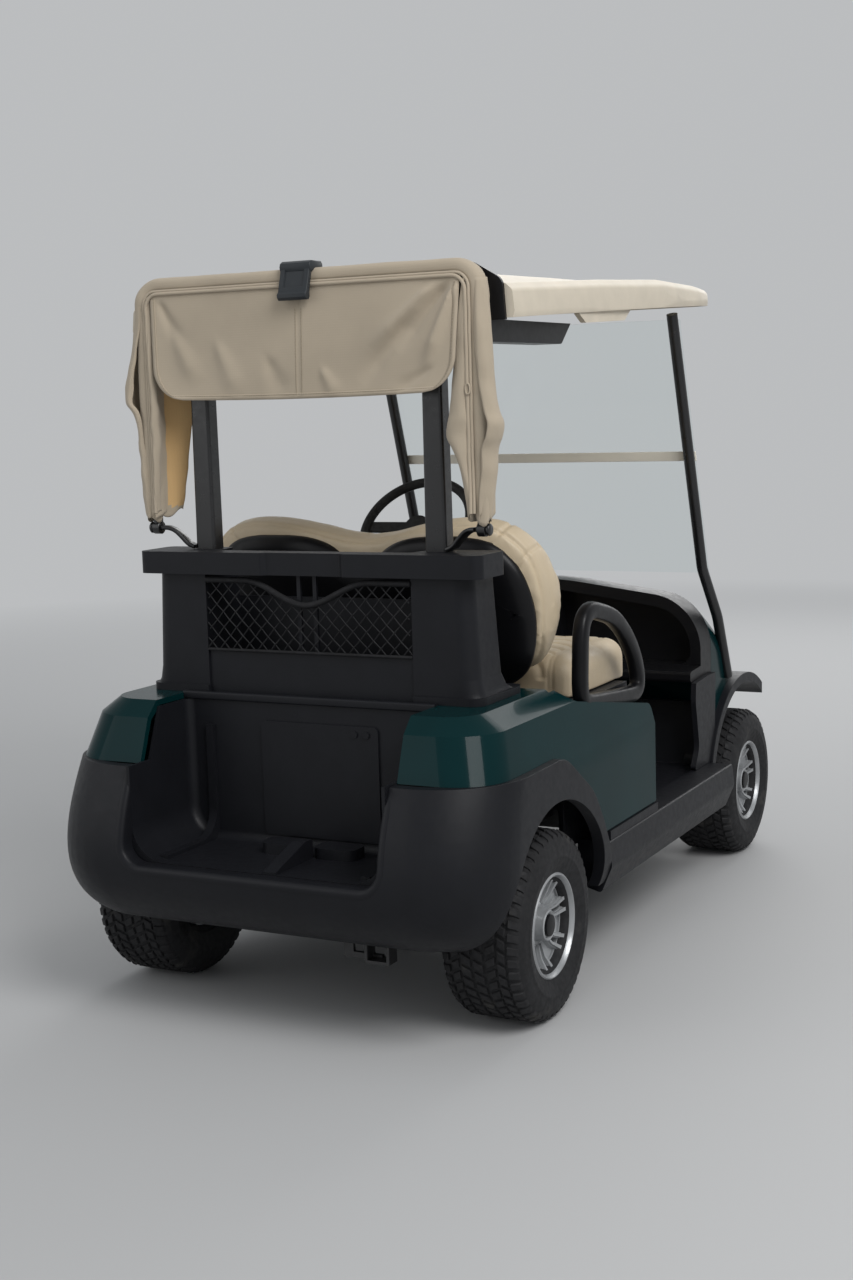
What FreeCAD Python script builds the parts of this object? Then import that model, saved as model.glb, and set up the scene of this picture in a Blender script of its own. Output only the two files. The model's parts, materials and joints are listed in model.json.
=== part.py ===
import FreeCAD, Part
import math
import os

import Sketcher
from FreeCAD import Placement, Rotation, Vector

# Two-seat golf cart with a bag well, a moulded canopy and a folding bag cover.
# Frame: +Z up, the nose points along -Y, +X is the cart's left side.
# Origin: on the ground, at the middle of the length and of the width.
# Every size is in millimetres and is written once, in the table below.

SIZES = (
    # alias, value, what it is
    ("wheelbase", 1664.0, "front axle to rear axle"),
    ("rear_overhang", 415.0, "rear axle to the back of the bumper"),
    ("front_overhang", 271.0, "front axle to the nose"),
    ("flare_cover", 13.0, "rear flare past the tyre's outside"),
    ("rear_track", 964.0, "between the middles of the rear tyres"),
    ("front_track", 876.0, "between the middles of the front tyres"),
    ("fit_gap", 0.3, "gap between pieces that seat on each other"),
    ("running_gap", 0.06, "radial gap of a shaft in its bore"),
    # wheels
    ("tyre_radius", 225.0, "axle height as well"),
    ("tyre_width", 210.0, "over the sidewalls"),
    ("tread_width", 168.0, "flat of the tread"),
    ("tread_edge_radius", 16.0, "shoulder of the tread"),
    ("sidewall_radius", 34.0, "bulge of the sidewall"),
    ("sidewall_inner", 150.0, "radius where the sidewall is widest, inner end"),
    ("sidewall_outer", 196.0, "radius where the sidewall is widest, outer end"),
    ("bead_width", 124.0, "tyre width at the rim"),
    ("rim_radius", 101.0, "outside of the rim's barrel"),
    ("rim_wall", 7.0, "barrel thickness"),
    ("rim_seat_gap", 0.5, "tyre bead to barrel"),
    ("cover_overlap", 23.5, "silver wheel cover past the rim's barrel"),
    ("cover_face", 95.0, "cover's outer face from the wheel's middle"),
    ("cover_lip", 12.0, "width of the cover's outer ring"),
    ("disc_hub", 42.0, "spoke disc at the hub, from the wheel's middle"),
    ("disc_thickness", 9.0, "spoke disc"),
    ("hub_radius", 33.0, "hub boss"),
    ("hub_face", 62.0, "hub's outer face from the wheel's middle"),
    ("slot_count", 10.0, "openings between the spokes"),
    ("slot_inner", 46.0, "inner end of an opening"),
    ("slot_outer", 90.0, "outer end of an opening"),
    ("slot_inner_width", 12.0, "opening near the hub"),
    ("slot_outer_width", 30.0, "opening near the ring"),
    ("spindle_radius", 17.0, "wheel spindle"),
    ("spindle_reach", 56.0, "spindle's end from the wheel's middle"),
    # chassis
    ("rail_offset", 175.0, "middle of a frame rail from the centre line"),
    ("rail_width", 50.0, "frame rail"),
    ("frame_drop", 27.0, "frame rails' underside above the axles"),
    ("frame_height", 68.0, "frame rails"),
    ("rail_nose", 176.0, "frame rails ahead of the front axle"),
    ("rail_tail", 280.0, "frame rails behind the rear axle"),
    ("cross_overhang", 45.0, "short cross members past the springs"),
    ("floor_cross_inset", 8.0, "cross members under the floor inside its edge"),
    ("cross_width", 60.0, "cross members, along the cart"),
    ("cross_height", 50.0, "cross members"),
    ("axle_tube_radius", 26.0, "rear axle tube"),
    ("drum_radius", 92.0, "rear brake drum"),
    ("drum_width", 52.0, "rear brake drum"),
    ("gearcase_radius", 88.0, "differential case"),
    ("gearcase_width", 150.0, "differential case"),
    ("motor_radius", 60.0, "drive motor beside the gear case"),
    ("motor_length", 190.0, "drive motor"),
    ("spring_offset", 255.0, "leaf spring from the centre line"),
    ("spring_width", 45.0, "leaf spring"),
    ("spring_span", 560.0, "leaf spring, eye to eye"),
    ("spring_thickness", 20.0, "pack of leaves"),
    ("kingpin_inset", 118.0, "steering axis inside the tyre's middle"),
    ("kingpin_radius", 10.0, "kingpin"),
    ("knuckle_radius", 22.0, "knuckle boss"),
    ("knuckle_height", 116.0, "knuckle boss"),
    ("ear_thickness", 14.0, "axle yoke ear"),
    ("beam_radius", 24.0, "front axle beam"),
    ("arm_length", 110.0, "steering arm, kingpin to tie rod"),
    ("arm_inset", 24.0, "tie rod end inboard of the kingpin"),
    ("arm_width", 24.0, "steering arm"),
    ("arm_thickness", 12.0, "steering arm"),
    ("arm_drop", 25.0, "steering arm below the axle"),
    ("tie_rod_radius", 8.0, "tie rod"),
    ("tie_rod_eye", 15.0, "tie rod end"),
    ("tie_rod_drop", 20.0, "tie rod below the steering arm"),
    # floor, sills and seat support
    ("sill_width", 92.0, "sill, sideways"),
    ("floor_thickness", 14.0, "floor board"),
    ("floor_start", 319.0, "flat floor's front end behind the front axle"),
    ("toe_height", 200.0, "toe board"),
    ("toe_reach", 36.0, "toe board's slope along the length"),
    ("pod_lead", 702.0, "seat support's front ahead of the rear axle"),
    ("pod_wall", 15.0, "seat support panels"),
    ("pod_side_gap", 60.0, "seat support's sides ahead of its rear leg, clear of the tyre"),
    ("deck_height", 370.0, "seat deck above the frame"),
    ("deck_lead", 195.0, "seat deck's rear edge ahead of the rear axle"),
    ("sill_inset", 10.0, "outside of the sill inside the flares"),
    ("sill_height", 132.0, "sill in the doorway"),
    ("sill_tuck", 30.0, "how far the sill's foot leans in"),
    ("step_height", 25.0, "sill above the frame, in the doorway"),
    ("sill_lift", 23.0, "sill's rise under the side panel"),
    ("sill_lead", 336.0, "sill's rear end ahead of the rear axle"),
    ("battery_half", 300.0, "battery pack, half width"),
    ("battery_setback", 52.0, "battery pack behind the seat support's front"),
    ("battery_rear_gap", 45.0, "battery pack ahead of the deck's rear edge"),
    ("battery_height", 280.0, "battery pack"),
    # rear body and bumper
    ("flare_step", 25.0, "side panel inside the rear flares"),
    ("body_lean", 35.0, "lean of the side panel, from the flare to its crease"),
    ("crease_drop", 37.0, "crease of the side panel below the shelf"),
    ("crease_width", 50.0, "bevelled strip above the crease, sideways"),
    ("crease_depth", 38.0, "bevelled strip above the crease, along the cart"),
    ("body_wall", 14.0, "thickness of a body panel"),
    ("body_rear_inset", 83.0, "side panel's rear end inside the bumper's back"),
    ("body_rear_lean", 50.0, "lean of the side panel's rear face, up to its crease"),
    ("body_corner", 120.0, "rounding of the rear corner"),
    ("shelf_lift", 62.0, "rack's shelf above the seat deck"),
    ("shelf_edge_lift", 16.0, "side panel's top above the deck, beside the seat back"),
    ("panel_setback", 2.0, "side panel's front behind the seat support's"),
    ("panel_front_drop", 56.0, "side panel's top below the deck, at its front"),
    ("panel_gap", 3.0, "side panel above the sill"),
    ("flange_gap", 2.0, "shelf beside the seat from the floor's edge"),
    ("flange_run", 40.0, "top of the side panel's slope ahead of the deck's rear edge"),
    ("arch_gap", 70.0, "rear wheel arch round the tyre"),
    ("bumper_drop", 10.0, "rear bumper below the frame"),
    ("bumper_height", 370.0, "rear bumper at its corners"),
    ("bumper_bottom_tuck", 77.0, "bumper's bottom edge inside its back"),
    ("bumper_top_tuck", 63.0, "bumper's top edge inside its back"),
    ("bumper_wall", 30.0, "thickness of the bumper moulding"),
    ("bumper_corner", 200.0, "rounding of the bumper in plan"),
    ("bumper_bottom_inset", 32.0, "bumper's bottom edge inside its widest"),
    ("bumper_top_inset", 12.0, "bumper's top edge inside its widest"),
    ("belly_low_rise", 88.0, "where the bumper stands out most, lower"),
    ("belly_high_rise", 228.0, "where the bumper stands out most, upper"),
    # bag well
    ("well_half", 345.0, "half width of the bag well"),
    ("well_start", 115.0, "back wall of the well behind the rear axle"),
    ("well_floor_rise", 72.0, "floor of the well above the frame"),
    ("well_wall", 8.0, "thickness of the liner"),
    ("lip_drop", 8.0, "bumper's lip below the well's floor"),
    ("well_corner", 85.0, "rounding between the well's sides and its floor"),
    ("well_rounding", 22.0, "rounding of the well towards its back wall"),
    ("ridge_x", 272.0, "ridges down the well's back wall"),
    ("ridge_width", 22.0, "ridges down the well's back wall"),
    ("ridge_height", 9.0, "ridges down the well's back wall"),
    ("divider_x", -40.0, "middle of the wedge between the two bags"),
    ("divider_start", 96.0, "wedge's front behind the well's back wall"),
    ("divider_height", 46.0, "wedge between the two bags"),
    ("divider_width", 34.0, "wedge between the two bags"),
    ("heel_height", 26.0, "low steps beside the wedge, for the bags' heels"),
    ("heel_width", 112.0, "low steps beside the wedge"),
    ("access_left", 125.0, "left edge of the access panel"),
    ("access_right", -195.0, "right edge of the access panel"),
    ("access_rise", 24.0, "access panel above the well's floor"),
    ("access_drop", 58.0, "access panel below the shelf"),
    ("access_thickness", 5.0, "access panel"),
    # bag rack and basket
    ("pillar_inner", 282.0, "inner face of a rack pillar"),
    ("pillar_width", 160.0, "rack pillar at its foot, sideways"),
    ("pillar_taper", 14.0, "rack pillar's taper to its top"),
    ("pillar_depth", 160.0, "rack pillar, front to rear"),
    ("pillar_setback", 9.0, "rack pillar's rear face ahead of the well's wall"),
    ("foot_reach", 74.0, "pillar's foot ahead of the pillar"),
    ("foot_spread", 14.0, "pillar's foot outside the pillar"),
    ("foot_height", 18.0, "plate under a pillar"),
    ("foot_flare", 40.0, "height over which a pillar widens to its foot"),
    ("rack_height", 346.0, "bag rack"),
    ("rack_bar", 54.0, "height of the crossbar"),
    ("rack_overhang", 24.0, "crossbar past the pillar"),
    ("bar_overhang", 18.0, "crossbar behind the pillars"),
    ("bar_depth", 144.0, "crossbar's ends, front to rear"),
    ("bar_width", 60.0, "crossbar between the pillars, front to rear"),
    ("bar_recess", 100.0, "half width of the shallow recess in the crossbar"),
    ("tray_height", 104.0, "basket's solid wall"),
    ("tray_wall", 8.0, "basket wall"),
    ("net_height", 119.0, "net at the lowest point of its rim"),
    ("net_sag", 55.0, "sag of the net's rim"),
    ("net_thickness", 6.0, "net"),
    # seats
    ("seat_inset", 10.0, "seat bottom inside the floor's edge"),
    ("seat_overhang", 93.0, "seat bottom ahead of its support"),
    ("seat_depth", 427.0, "seat bottom, front to rear"),
    ("seat_height", 112.0, "thickness of the seat bottom"),
    ("seat_edge", 45.0, "rounding of the seat bottom"),
    ("back_setback", 10.0, "seat back behind the seat bottom, at the deck"),
    ("back_rake", 12.0, "lean of the seat back, degrees"),
    ("back_inset", 10.0, "seat back inside the seat bottom's end"),
    ("back_height", 490.0, "height of the seat back's humps"),
    ("back_dip", 445.0, "height of the seat back between the humps"),
    ("hump_shoulder", 110.0, "crest of a hump from the seat back's side"),
    ("hump_foot", 70.0, "lower corner of the seat back from its side"),
    ("hump_saddle", 150.0, "where the dip between the humps starts, from the middle"),
    ("back_thickness", 105.0, "seat back cushion"),
    ("back_low", 70.0, "seat back cushion's lower edge over the deck"),
    ("shell_thickness", 42.0, "moulded shell behind the cushion"),
    ("shell_inset", 14.0, "shell inside the cushion's outline"),
    ("shell_slope", 24.0, "how far the shell's back draws in"),
    ("loop_inset", 68.0, "hip restraint's inner face inside the side panel"),
    ("loop_width", 38.0, "hip restraint, sideways"),
    ("loop_setback", 118.0, "rear of a hip restraint behind the seat back's foot"),
    ("loop_start", 4.0, "front of a hip restraint behind the seat support's front"),
    ("loop_height", 247.0, "hip restraint above the deck"),
    ("loop_bar", 42.0, "thickness of the hip restraint's loop"),
    # canopy
    ("canopy_inset", 55.0, "canopy inside the rear flares"),
    ("canopy_start", 276.0, "canopy's front edge behind the front axle"),
    ("canopy_lead", 84.0, "canopy's rear edge ahead of the pillars' rear"),
    ("canopy_side", 70.0, "canopy's side at the rear"),
    ("canopy_dome", 57.0, "canopy's crown above its side"),
    ("canopy_shell", 12.0, "thickness of the canopy"),
    ("canopy_taper", 24.0, "canopy narrower at its rear"),
    ("canopy_ridge", 9.0, "ridge along the canopy's side above its gutter"),
    ("canopy_gutter", 62.0, "gutter inside the canopy's side"),
    ("canopy_nose", 46.0, "drop of the canopy's crown to its front edge"),
    ("handhold_lead", 370.0, "handhold's rear end ahead of the canopy's rear"),
    ("handhold_length", 350.0, "handhold under the canopy's side"),
    ("handhold_drop", 22.0, "handhold below the canopy's edge"),
    ("handhold_inset", 34.0, "handhold's inner face inside the canopy's side"),
    ("handhold_width", 14.0, "handhold, sideways"),
    ("canopy_clear", 525.0, "canopy's rear edge above the bag rack"),
    ("canopy_rise", 65.0, "rise of the canopy's edge to the front"),
    ("canopy_corner", 150.0, "rounding of the canopy's corners"),
    ("holder_inset", 90.0, "canopy holder inside the canopy's side"),
    ("holder_height", 51.0, "canopy holder's channels"),
    ("holder_length", 482.0, "canopy holder's channels"),
    ("holder_width", 70.0, "width of a side channel"),
    ("cap_inset", 43.0, "rear cap inside the canopy's side"),
    ("cap_thickness", 10.0, "rear cap of the canopy"),
    ("rear_strut_inset", 36.0, "rear strut's middle from the pillar's inner face"),
    ("rear_strut_width", 56.0, "rear strut"),
    ("rear_strut_depth", 44.0, "rear strut"),
    ("rear_strut_lead", 104.0, "rear strut's front face ahead of the pillars' rear"),
    ("front_strut_inset", 74.0, "front strut inside the canopy's side"),
    ("front_strut_radius", 16.0, "front strut tube"),
    ("strut_top_setback", 220.0, "front strut's top behind the canopy's front"),
    ("strut_top_drop", 24.0, "front strut's top below the canopy's front edge"),
    ("strut_knee_setback", 236.0, "front strut at the cowl behind the front axle"),
    ("knee_drop", 40.0, "front strut's knee below the cowl's top"),
    ("strut_foot_setback", 112.0, "front strut's lower end behind the front axle"),
    ("foot_drop", 285.0, "front strut's lower end below its knee"),
    ("glass_thickness", 5.0, "windshield"),
    ("glass_overlap", 15.0, "windshield past the strut's middle"),
    ("glass_gap", 0.3, "windshield in front of the struts"),
    ("glass_lift", 5.0, "windshield above the cowl"),
    ("glass_lower_height", 340.0, "lower pane of the windshield"),
    ("glass_strip", 28.0, "height of the hinge strip"),
    ("glass_drop", 38.0, "windshield below the canopy's front edge"),
    # front end
    ("cowl_rise", 110.0, "cowl's bottom edge above the frame"),
    ("cowl_wall", 14.0, "thickness of the cowl"),
    ("cowl_setback", 264.0, "cowl's rear edge behind the front axle"),
    ("cowl_overlap", 2.0, "half width of the cowl past the floor's edge"),
    ("shoulder_drop", 68.0, "cowl's shoulder below its top"),
    ("crown_lift", 210.0, "cowl's top above the seat deck"),
    ("front_arch_gap", 87.0, "front wheel space round the tyre"),
    ("sweep_foot", 97.0, "steered wheel's space inside the steering axis"),
    ("sweep_foot_reach", 206.0, "steered wheel's space along the cart, inside the steering axis"),
    ("sweep_side", 100.0, "where the steered wheel's space is widest, outside the steering axis"),
    ("sweep_side_reach", 310.0, "steered wheel's space along the cart, at its widest"),
    ("arch_inner_inset", 114.0, "front wheel space's inner wall inside the steering axis"),
    ("nose_drop", 2.0, "front bumper below the frame"),
    ("nose_bottom_half", 236.0, "front bumper's lower edge, half width"),
    ("nose_top_half", 326.0, "front bumper's upper edge, half width"),
    ("flare_width", 92.0, "front wheel flare, sideways"),
    ("front_flare_reach", 84.0, "front flare outside the tyre's middle"),
    ("flare_thickness", 30.0, "front wheel flare"),
    ("flare_nose", 190.0, "front wheel flare ahead of the axle"),
    ("flare_tail", 322.0, "front wheel flare behind the axle"),
    ("flare_foot", 90.0, "front wheel flare's ends above the axle"),
    ("dash_depth", 95.0, "dash behind the cowl"),
    ("dash_height", 290.0, "dash"),
    ("dash_rim", 32.0, "rim of the dash"),
    ("dash_shelf", 190.0, "shelf below the dash, behind the cowl"),
    ("shroud_half", 46.0, "half width of the block round the steering column"),
    ("kick_width", 16.0, "panel ahead of the doorway, thickness"),
    ("dash_back", 20.0, "rear wall of the dash pockets"),
    ("wheel_offset", 262.0, "steering wheel from the centre line"),
    ("wheel_setback", 425.0, "middle of the steering wheel behind the cowl"),
    ("wheel_lift", 385.0, "middle of the steering wheel above the seat deck"),
    ("wheel_radius", 168.0, "steering wheel, middle of the rim"),
    ("wheel_grip", 14.0, "steering wheel rim"),
    ("wheel_hub_radius", 38.0, "steering wheel's hub"),
    ("wheel_hub_depth", 40.0, "steering wheel's hub"),
    ("spoke_width", 34.0, "steering wheel's spokes"),
    ("spoke_thickness", 10.0, "steering wheel's spokes"),
    ("shaft_radius", 11.0, "shaft below the steering wheel"),
    ("column_tilt", 42.0, "steering column below level, degrees"),
    ("column_radius", 24.0, "steering column tube"),
    ("column_length", 500.0, "steering column tube"),
    ("brake_x", 250.0, "brake pedal from the centre line"),
    ("brake_width", 110.0, "brake pedal"),
    ("drive_x", 130.0, "accelerator from the centre line"),
    ("drive_width", 64.0, "accelerator"),
    ("pedal_lift", 86.0, "pedal pads above the floor"),
    ("pedal_height", 80.0, "pedal pads"),
    # tow bracket
    ("hitch_inset", 101.0, "tow bracket inside the bumper's back"),
    ("hitch_x", -275.0, "middle of the tow bracket"),
    ("hitch_width", 64.0, "tow bracket"),
    ("hitch_height", 50.0, "tow bracket"),
    ("hitch_plate", 8.0, "tow bracket's plates"),
    # bag cover
    ("pivot_overhang", 0.0, "cover's pivots past the crossbar's end"),
    ("pivot_setback", 36.0, "cover's pivots behind the canopy"),
    ("pivot_lift", 54.0, "cover's pivots above the rack"),
    ("pivot_radius", 7.0, "cover's pivot pin"),
    ("bow_tube", 12.0, "radius of the cover's bow"),
    ("bow_inset", 20.0, "bow's tube inside the pivots"),
    ("bow_drop", 8.0, "bow's top tube below the canopy's top"),
    ("bow_corner", 60.0, "bow's corners"),
    ("flap_inset", 28.0, "flap inside the bow"),
    ("flap_height", 280.0, "flap below the bow's tube"),
    ("flap_setback", 18.0, "flap's front face behind the pivots"),
    ("flap_thickness", 16.0, "cover flap"),
    ("flap_corner", 90.0, "rounding of the flap's lower corners"),
    ("curtain_inset", 27.0, "side curtain's inner face inside the bow's middle"),
    ("curtain_lift", 33.0, "side curtain above the pivots"),
    ("curtain_lead", 20.0, "side curtain's front edge ahead of the pivots"),
    ("curtain_setback", 72.0, "side curtain's rear edge behind the pivots"),
    ("curtain_reach", 40.0, "side curtain's outer face outside the bow's middle"),
    ("curtain_taper", 130.0, "height over which a side curtain narrows at its foot"),
    ("latch_width", 112.0, "clasp on top of the cover"),
    ("latch_rise", 33.0, "clasp above the bow's tube"),
)

document = FreeCAD.newDocument("golf_cart")
sheet = document.addObject("Spreadsheet::Sheet", "Sizes")
for row, (alias, value, meaning) in enumerate(SIZES, start=1):
    sheet.set(f"A{row}", meaning)
    sheet.set(f"B{row}", str(value))
    sheet.setAlias(f"B{row}", alias)
document.recompute()


class Length(float):
    """A number that also knows the sheet expression it comes from."""

    def __new__(cls, value, text):
        made = float.__new__(cls, value)
        made.text = text
        return made

    @staticmethod
    def words(value):
        """The expression text of a Length, or of a plain number."""
        return value.text if isinstance(value, Length) else repr(float(value))

    def __add__(self, other):
        return Length(float(self) + float(other), f"({self.text} + {Length.words(other)})")

    def __radd__(self, other):
        return Length(float(other) + float(self), f"({Length.words(other)} + {self.text})")

    def __sub__(self, other):
        return Length(float(self) - float(other), f"({self.text} - {Length.words(other)})")

    def __rsub__(self, other):
        return Length(float(other) - float(self), f"({Length.words(other)} - {self.text})")

    def __mul__(self, other):
        return Length(float(self) * float(other), f"({self.text} * {Length.words(other)})")

    def __rmul__(self, other):
        return self * other

    def __truediv__(self, other):
        return Length(float(self) / float(other), f"({self.text} / {Length.words(other)})")

    def __neg__(self):
        return Length(-float(self), f"(-1 * {self.text})")


class Sizes:
    """Gives each cell of the sheet as a Length, by its alias."""

    def __getattr__(self, alias):
        return Length(sheet.get(alias), f"Sizes.{alias}")


S = Sizes()
PLANES = {"XY": "XY_Plane", "XZ": "XZ_Plane", "YZ": "YZ_Plane"}
LEFT, RIGHT = 1, -1
SIDE_NAMES = {LEFT: "left", RIGHT: "right"}
nodes = {}


def node(name, thing):
    """Marks an object as a finished sub-part whose file is called name."""
    thing.Label = name
    nodes[name] = thing
    return thing


def bind(thing, path, value):
    """Ties one property of an object to the sheet."""
    thing.setExpression(path, Length.words(value))


def place(thing, x=0.0, y=0.0, z=0.0):
    """Binds the position of an object."""
    for axis, value in (("x", x), ("y", y), ("z", z)):
        bind(thing, f"Placement.Base.{axis}", value)
    return thing


def box(name, x, y, z):
    """A Part::Box between the low and high ends given along each axis."""
    made = document.addObject("Part::Box", name)
    for path, span in (("Length", x), ("Width", y), ("Height", z)):
        bind(made, path, span[1] - span[0])
    return place(made, x[0], y[0], z[0])


AXES = {"x": Rotation(Vector(0, 1, 0), 90), "y": Rotation(Vector(1, 0, 0), -90), "z": Rotation()}


def cylinder(name, along, start, radius, length):
    """A Part::Cylinder that runs from start in the positive direction of one axis."""
    made = document.addObject("Part::Cylinder", name)
    made.Placement = Placement(Vector(), AXES[along])
    bind(made, "Radius", radius)
    bind(made, "Height", length)
    return place(made, *start)


def fuse(name, *things):
    """All the things given as one Part::MultiFuse."""
    made = document.addObject("Part::MultiFuse", name)
    made.Shapes = list(things)
    made.Refine = True
    return made


def cut(name, base, *tools):
    """The base without the tools, as one Part::Cut."""
    made = document.addObject("Part::Cut", name)
    made.Base = base
    made.Tool = tools[0] if len(tools) == 1 else fuse(name + "_tools", *tools)
    made.Refine = True
    return made


def common(name, base, tool):
    """What two things share, as one Part::Common."""
    made = document.addObject("Part::Common", name)
    made.Base, made.Tool = base, tool
    made.Refine = True
    return made


def mirror(name, source):
    """The same thing on the other side of the centre plane."""
    made = document.addObject("Part::Mirroring", name)
    made.Source = source
    made.Normal = Vector(1, 0, 0)
    return made


def both(name, source):
    """A left piece and its mirror image as the two solids of one node."""
    return node(name, fuse(name, source, mirror(name + "_other", source)))


def corner_points(corners):
    """For each corner (u, v[, radius]): arc centre or None, and the two ends of its rounding."""
    points = [Vector(float(c[0]), float(c[1]), 0) for c in corners]
    radii = [c[2] if len(c) > 2 else 0.0 for c in corners]
    found = []
    for index, (point, radius) in enumerate(zip(points, radii)):
        if float(radius) <= 0:
            found.append((None, point, point))
            continue
        back = (points[index - 1] - point).normalize()
        ahead = (points[(index + 1) % len(points)] - point).normalize()
        half = back.getAngle(ahead) / 2
        reach = float(radius) / math.tan(half)
        centre = point + (back + ahead).normalize() * (float(radius) / math.sin(half))
        found.append((centre, point + back * reach, point + ahead * reach))
    return points, radii, found


def sketch(body, plane, corners):
    """A closed, fully constrained outline on one of the body's planes."""
    made = body.newObject("Sketcher::SketchObject", body.Name + "_outline")
    support = [f for f in body.Origin.OriginFeatures if f.Role == PLANES[plane]]
    made.AttachmentSupport = [(support[0], "")]
    made.MapMode = "FlatFace"
    points, radii, found = corner_points(corners)
    count = len(points)
    geometry = [Part.LineSegment(found[i][2], found[(i + 1) % count][1]) for i in range(count)]
    arcs = {}
    for index, (centre, first, last) in enumerate(found):
        if centre is None:
            continue
        start, end = first - centre, last - centre
        turns_left = start.x * end.y - start.y * end.x > 0
        angles = [math.atan2(v.y, v.x) for v in ((start, end) if turns_left else (end, start))]
        if angles[1] < angles[0]:
            angles[1] += 2 * math.pi
        circle = Part.Circle(centre, Vector(0, 0, 1), float(radii[index]))
        arcs[index] = (len(geometry), turns_left)
        geometry.append(Part.ArcOfCircle(circle, *angles))
    marks = {}
    for index in arcs:
        marks[index] = len(geometry)
        geometry.append(Part.Point(points[index]))
    made.addGeometry(geometry, False)
    for mark in marks.values():
        made.setConstruction(mark, True)

    def hold(value, *words):
        number = made.addConstraint(Sketcher.Constraint(*words))
        if isinstance(value, Length):
            made.setExpression(f"Constraints[{number}]", value.text)

    for index in range(count):
        before = (index - 1) % count
        vertex = (index, 1)
        if index in arcs:
            arc, turns_left = arcs[index]
            near, far = (1, 2) if turns_left else (2, 1)
            hold(None, "Tangent", before, 2, arc, near)
            hold(None, "Tangent", arc, far, index, 1)
            hold(None, "PointOnObject", marks[index], 1, before)
            hold(None, "PointOnObject", marks[index], 1, index)
            hold(radii[index], "Radius", arc, float(radii[index]))
            vertex = (marks[index], 1)
        else:
            hold(None, "Coincident", before, 2, index, 1)
        hold(corners[index][0], "DistanceX", -1, 1, *vertex, points[index].x)
        hold(corners[index][1], "DistanceY", -1, 1, *vertex, points[index].y)
    return made


def prism(name, plane, corners, start, end):
    """A PartDesign body: an outline padded between two stations along the plane's axis."""
    body = document.addObject("PartDesign::Body", name)
    outline = sketch(body, plane, corners)
    pad = body.newObject("PartDesign::Pad", name + "_pad")
    pad.Profile = outline
    bind(pad, "Length", end - start)
    pad.Reversed = plane == "XZ"
    outline.Visibility = False
    axis = {"XY": "z", "XZ": "y", "YZ": "x"}[plane]
    bind(body, f"Placement.Base.{axis}", start)
    return body


def revolved(name, corners):
    """A PartDesign body: an outline (along the axle, radius) turned about the X axis."""
    body = document.addObject("PartDesign::Body", name)
    outline = sketch(body, "XY", corners)
    turn = body.newObject("PartDesign::Revolution", name + "_turn")
    turn.Profile = outline
    turn.ReferenceAxis = (outline, ["H_Axis"])
    turn.Angle = 360.0
    return body


def outline_wire(plane, station, corners):
    """A closed wire of lines and arcs in a plane across one axis, for lofts."""
    _, _, found = corner_points(corners)
    lift = {
        "XY": lambda v: Vector(v.x, v.y, float(station)),
        "XZ": lambda v: Vector(v.x, float(station), v.y),
        "YZ": lambda v: Vector(float(station), v.x, v.y),
    }[plane]
    edges = []
    for index, (centre, first, last) in enumerate(found):
        if centre is not None:
            toward = ((first + last) * 0.5 - centre).normalize()
            middle = centre + toward * (first - centre).Length
            edges.append(Part.Arc(lift(first), lift(middle), lift(last)).toShape())
        ahead = found[(index + 1) % len(found)][1]
        edges.append(Part.LineSegment(lift(last), lift(ahead)).toShape())
    return Part.Wire(edges)


def feature(name, shape):
    """A Part::Feature that holds a shape made from the sheet's values."""
    made = document.addObject("Part::Feature", name)
    made.Shape = shape
    return made


def loft(name, plane, sections, ruled=False):
    """A solid through sections given as (station, corners)."""
    wires = [outline_wire(plane, station, corners) for station, corners in sections]
    return feature(name, Part.makeLoft(wires, True, ruled))


def tube_path(name, points, radius):
    """A round bar along straight runs; each point is (x, y, z[, bend radius])."""
    stops = [Vector(*[float(v) for v in point[:3]]) for point in points]
    edges = []
    start = stops[0]
    for index in range(1, len(stops) - 1):
        corner = stops[index]
        bend = float(points[index][3])
        back = (stops[index - 1] - corner).normalize()
        ahead = (stops[index + 1] - corner).normalize()
        half = back.getAngle(ahead) / 2
        reach = bend / math.tan(half)
        middle = corner + (back + ahead).normalize() * (bend / math.sin(half) - bend)
        edges.append(Part.LineSegment(start, corner + back * reach).toShape())
        edges.append(Part.Arc(corner + back * reach, middle, corner + ahead * reach).toShape())
        start = corner + ahead * reach
    edges.append(Part.LineSegment(start, stops[-1]).toShape())
    path = Part.Wire(edges)
    ring = Part.Wire([Part.Circle(stops[0], stops[1] - stops[0], float(radius)).toShape()])
    return feature(name, path.makePipeShell([ring], True, True))


half_length = (S.front_overhang + S.wheelbase + S.rear_overhang) / 2
half_width = (S.rear_track + S.tyre_width) / 2 + S.flare_cover
rear_axle = half_length - S.rear_overhang
front_axle = rear_axle - S.wheelbase
axle_height = S.tyre_radius

# Radii that follow the tyre.
arch_radius = S.tyre_radius + S.arch_gap
front_arch_radius = S.tyre_radius + S.front_arch_gap
cover_radius = S.rim_radius + S.cover_overlap

# Stations along the cart, from the axles and the ends.
rail_front = front_axle - S.rail_nose
rail_rear = rear_axle + S.rail_tail
floor_front = front_axle + S.floor_start
pod_front = rear_axle - S.pod_lead
deck_rear = rear_axle - S.deck_lead
sill_rear = rear_axle - S.sill_lead
battery_front = pod_front + S.battery_setback
battery_rear = deck_rear - S.battery_rear_gap
body_rear = half_length - S.body_rear_inset
crease_rear = body_rear - S.body_rear_lean
body_top_rear = crease_rear - S.crease_depth
panel_front = pod_front + S.panel_setback
bumper_bottom_rear = half_length - S.bumper_bottom_tuck
bumper_top_rear = half_length - S.bumper_top_tuck
well_back = rear_axle + S.well_start
pillar_rear = well_back - S.pillar_setback
pillar_front = pillar_rear - S.pillar_depth
foot_front = pillar_front - S.foot_reach
bar_rear = pillar_rear + S.bar_overhang
bar_front = bar_rear - S.bar_depth
seat_front = pod_front - S.seat_overhang
seat_rear = seat_front + S.seat_depth
back_foot = seat_rear + S.back_setback
loop_rear = back_foot + S.loop_setback
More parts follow.
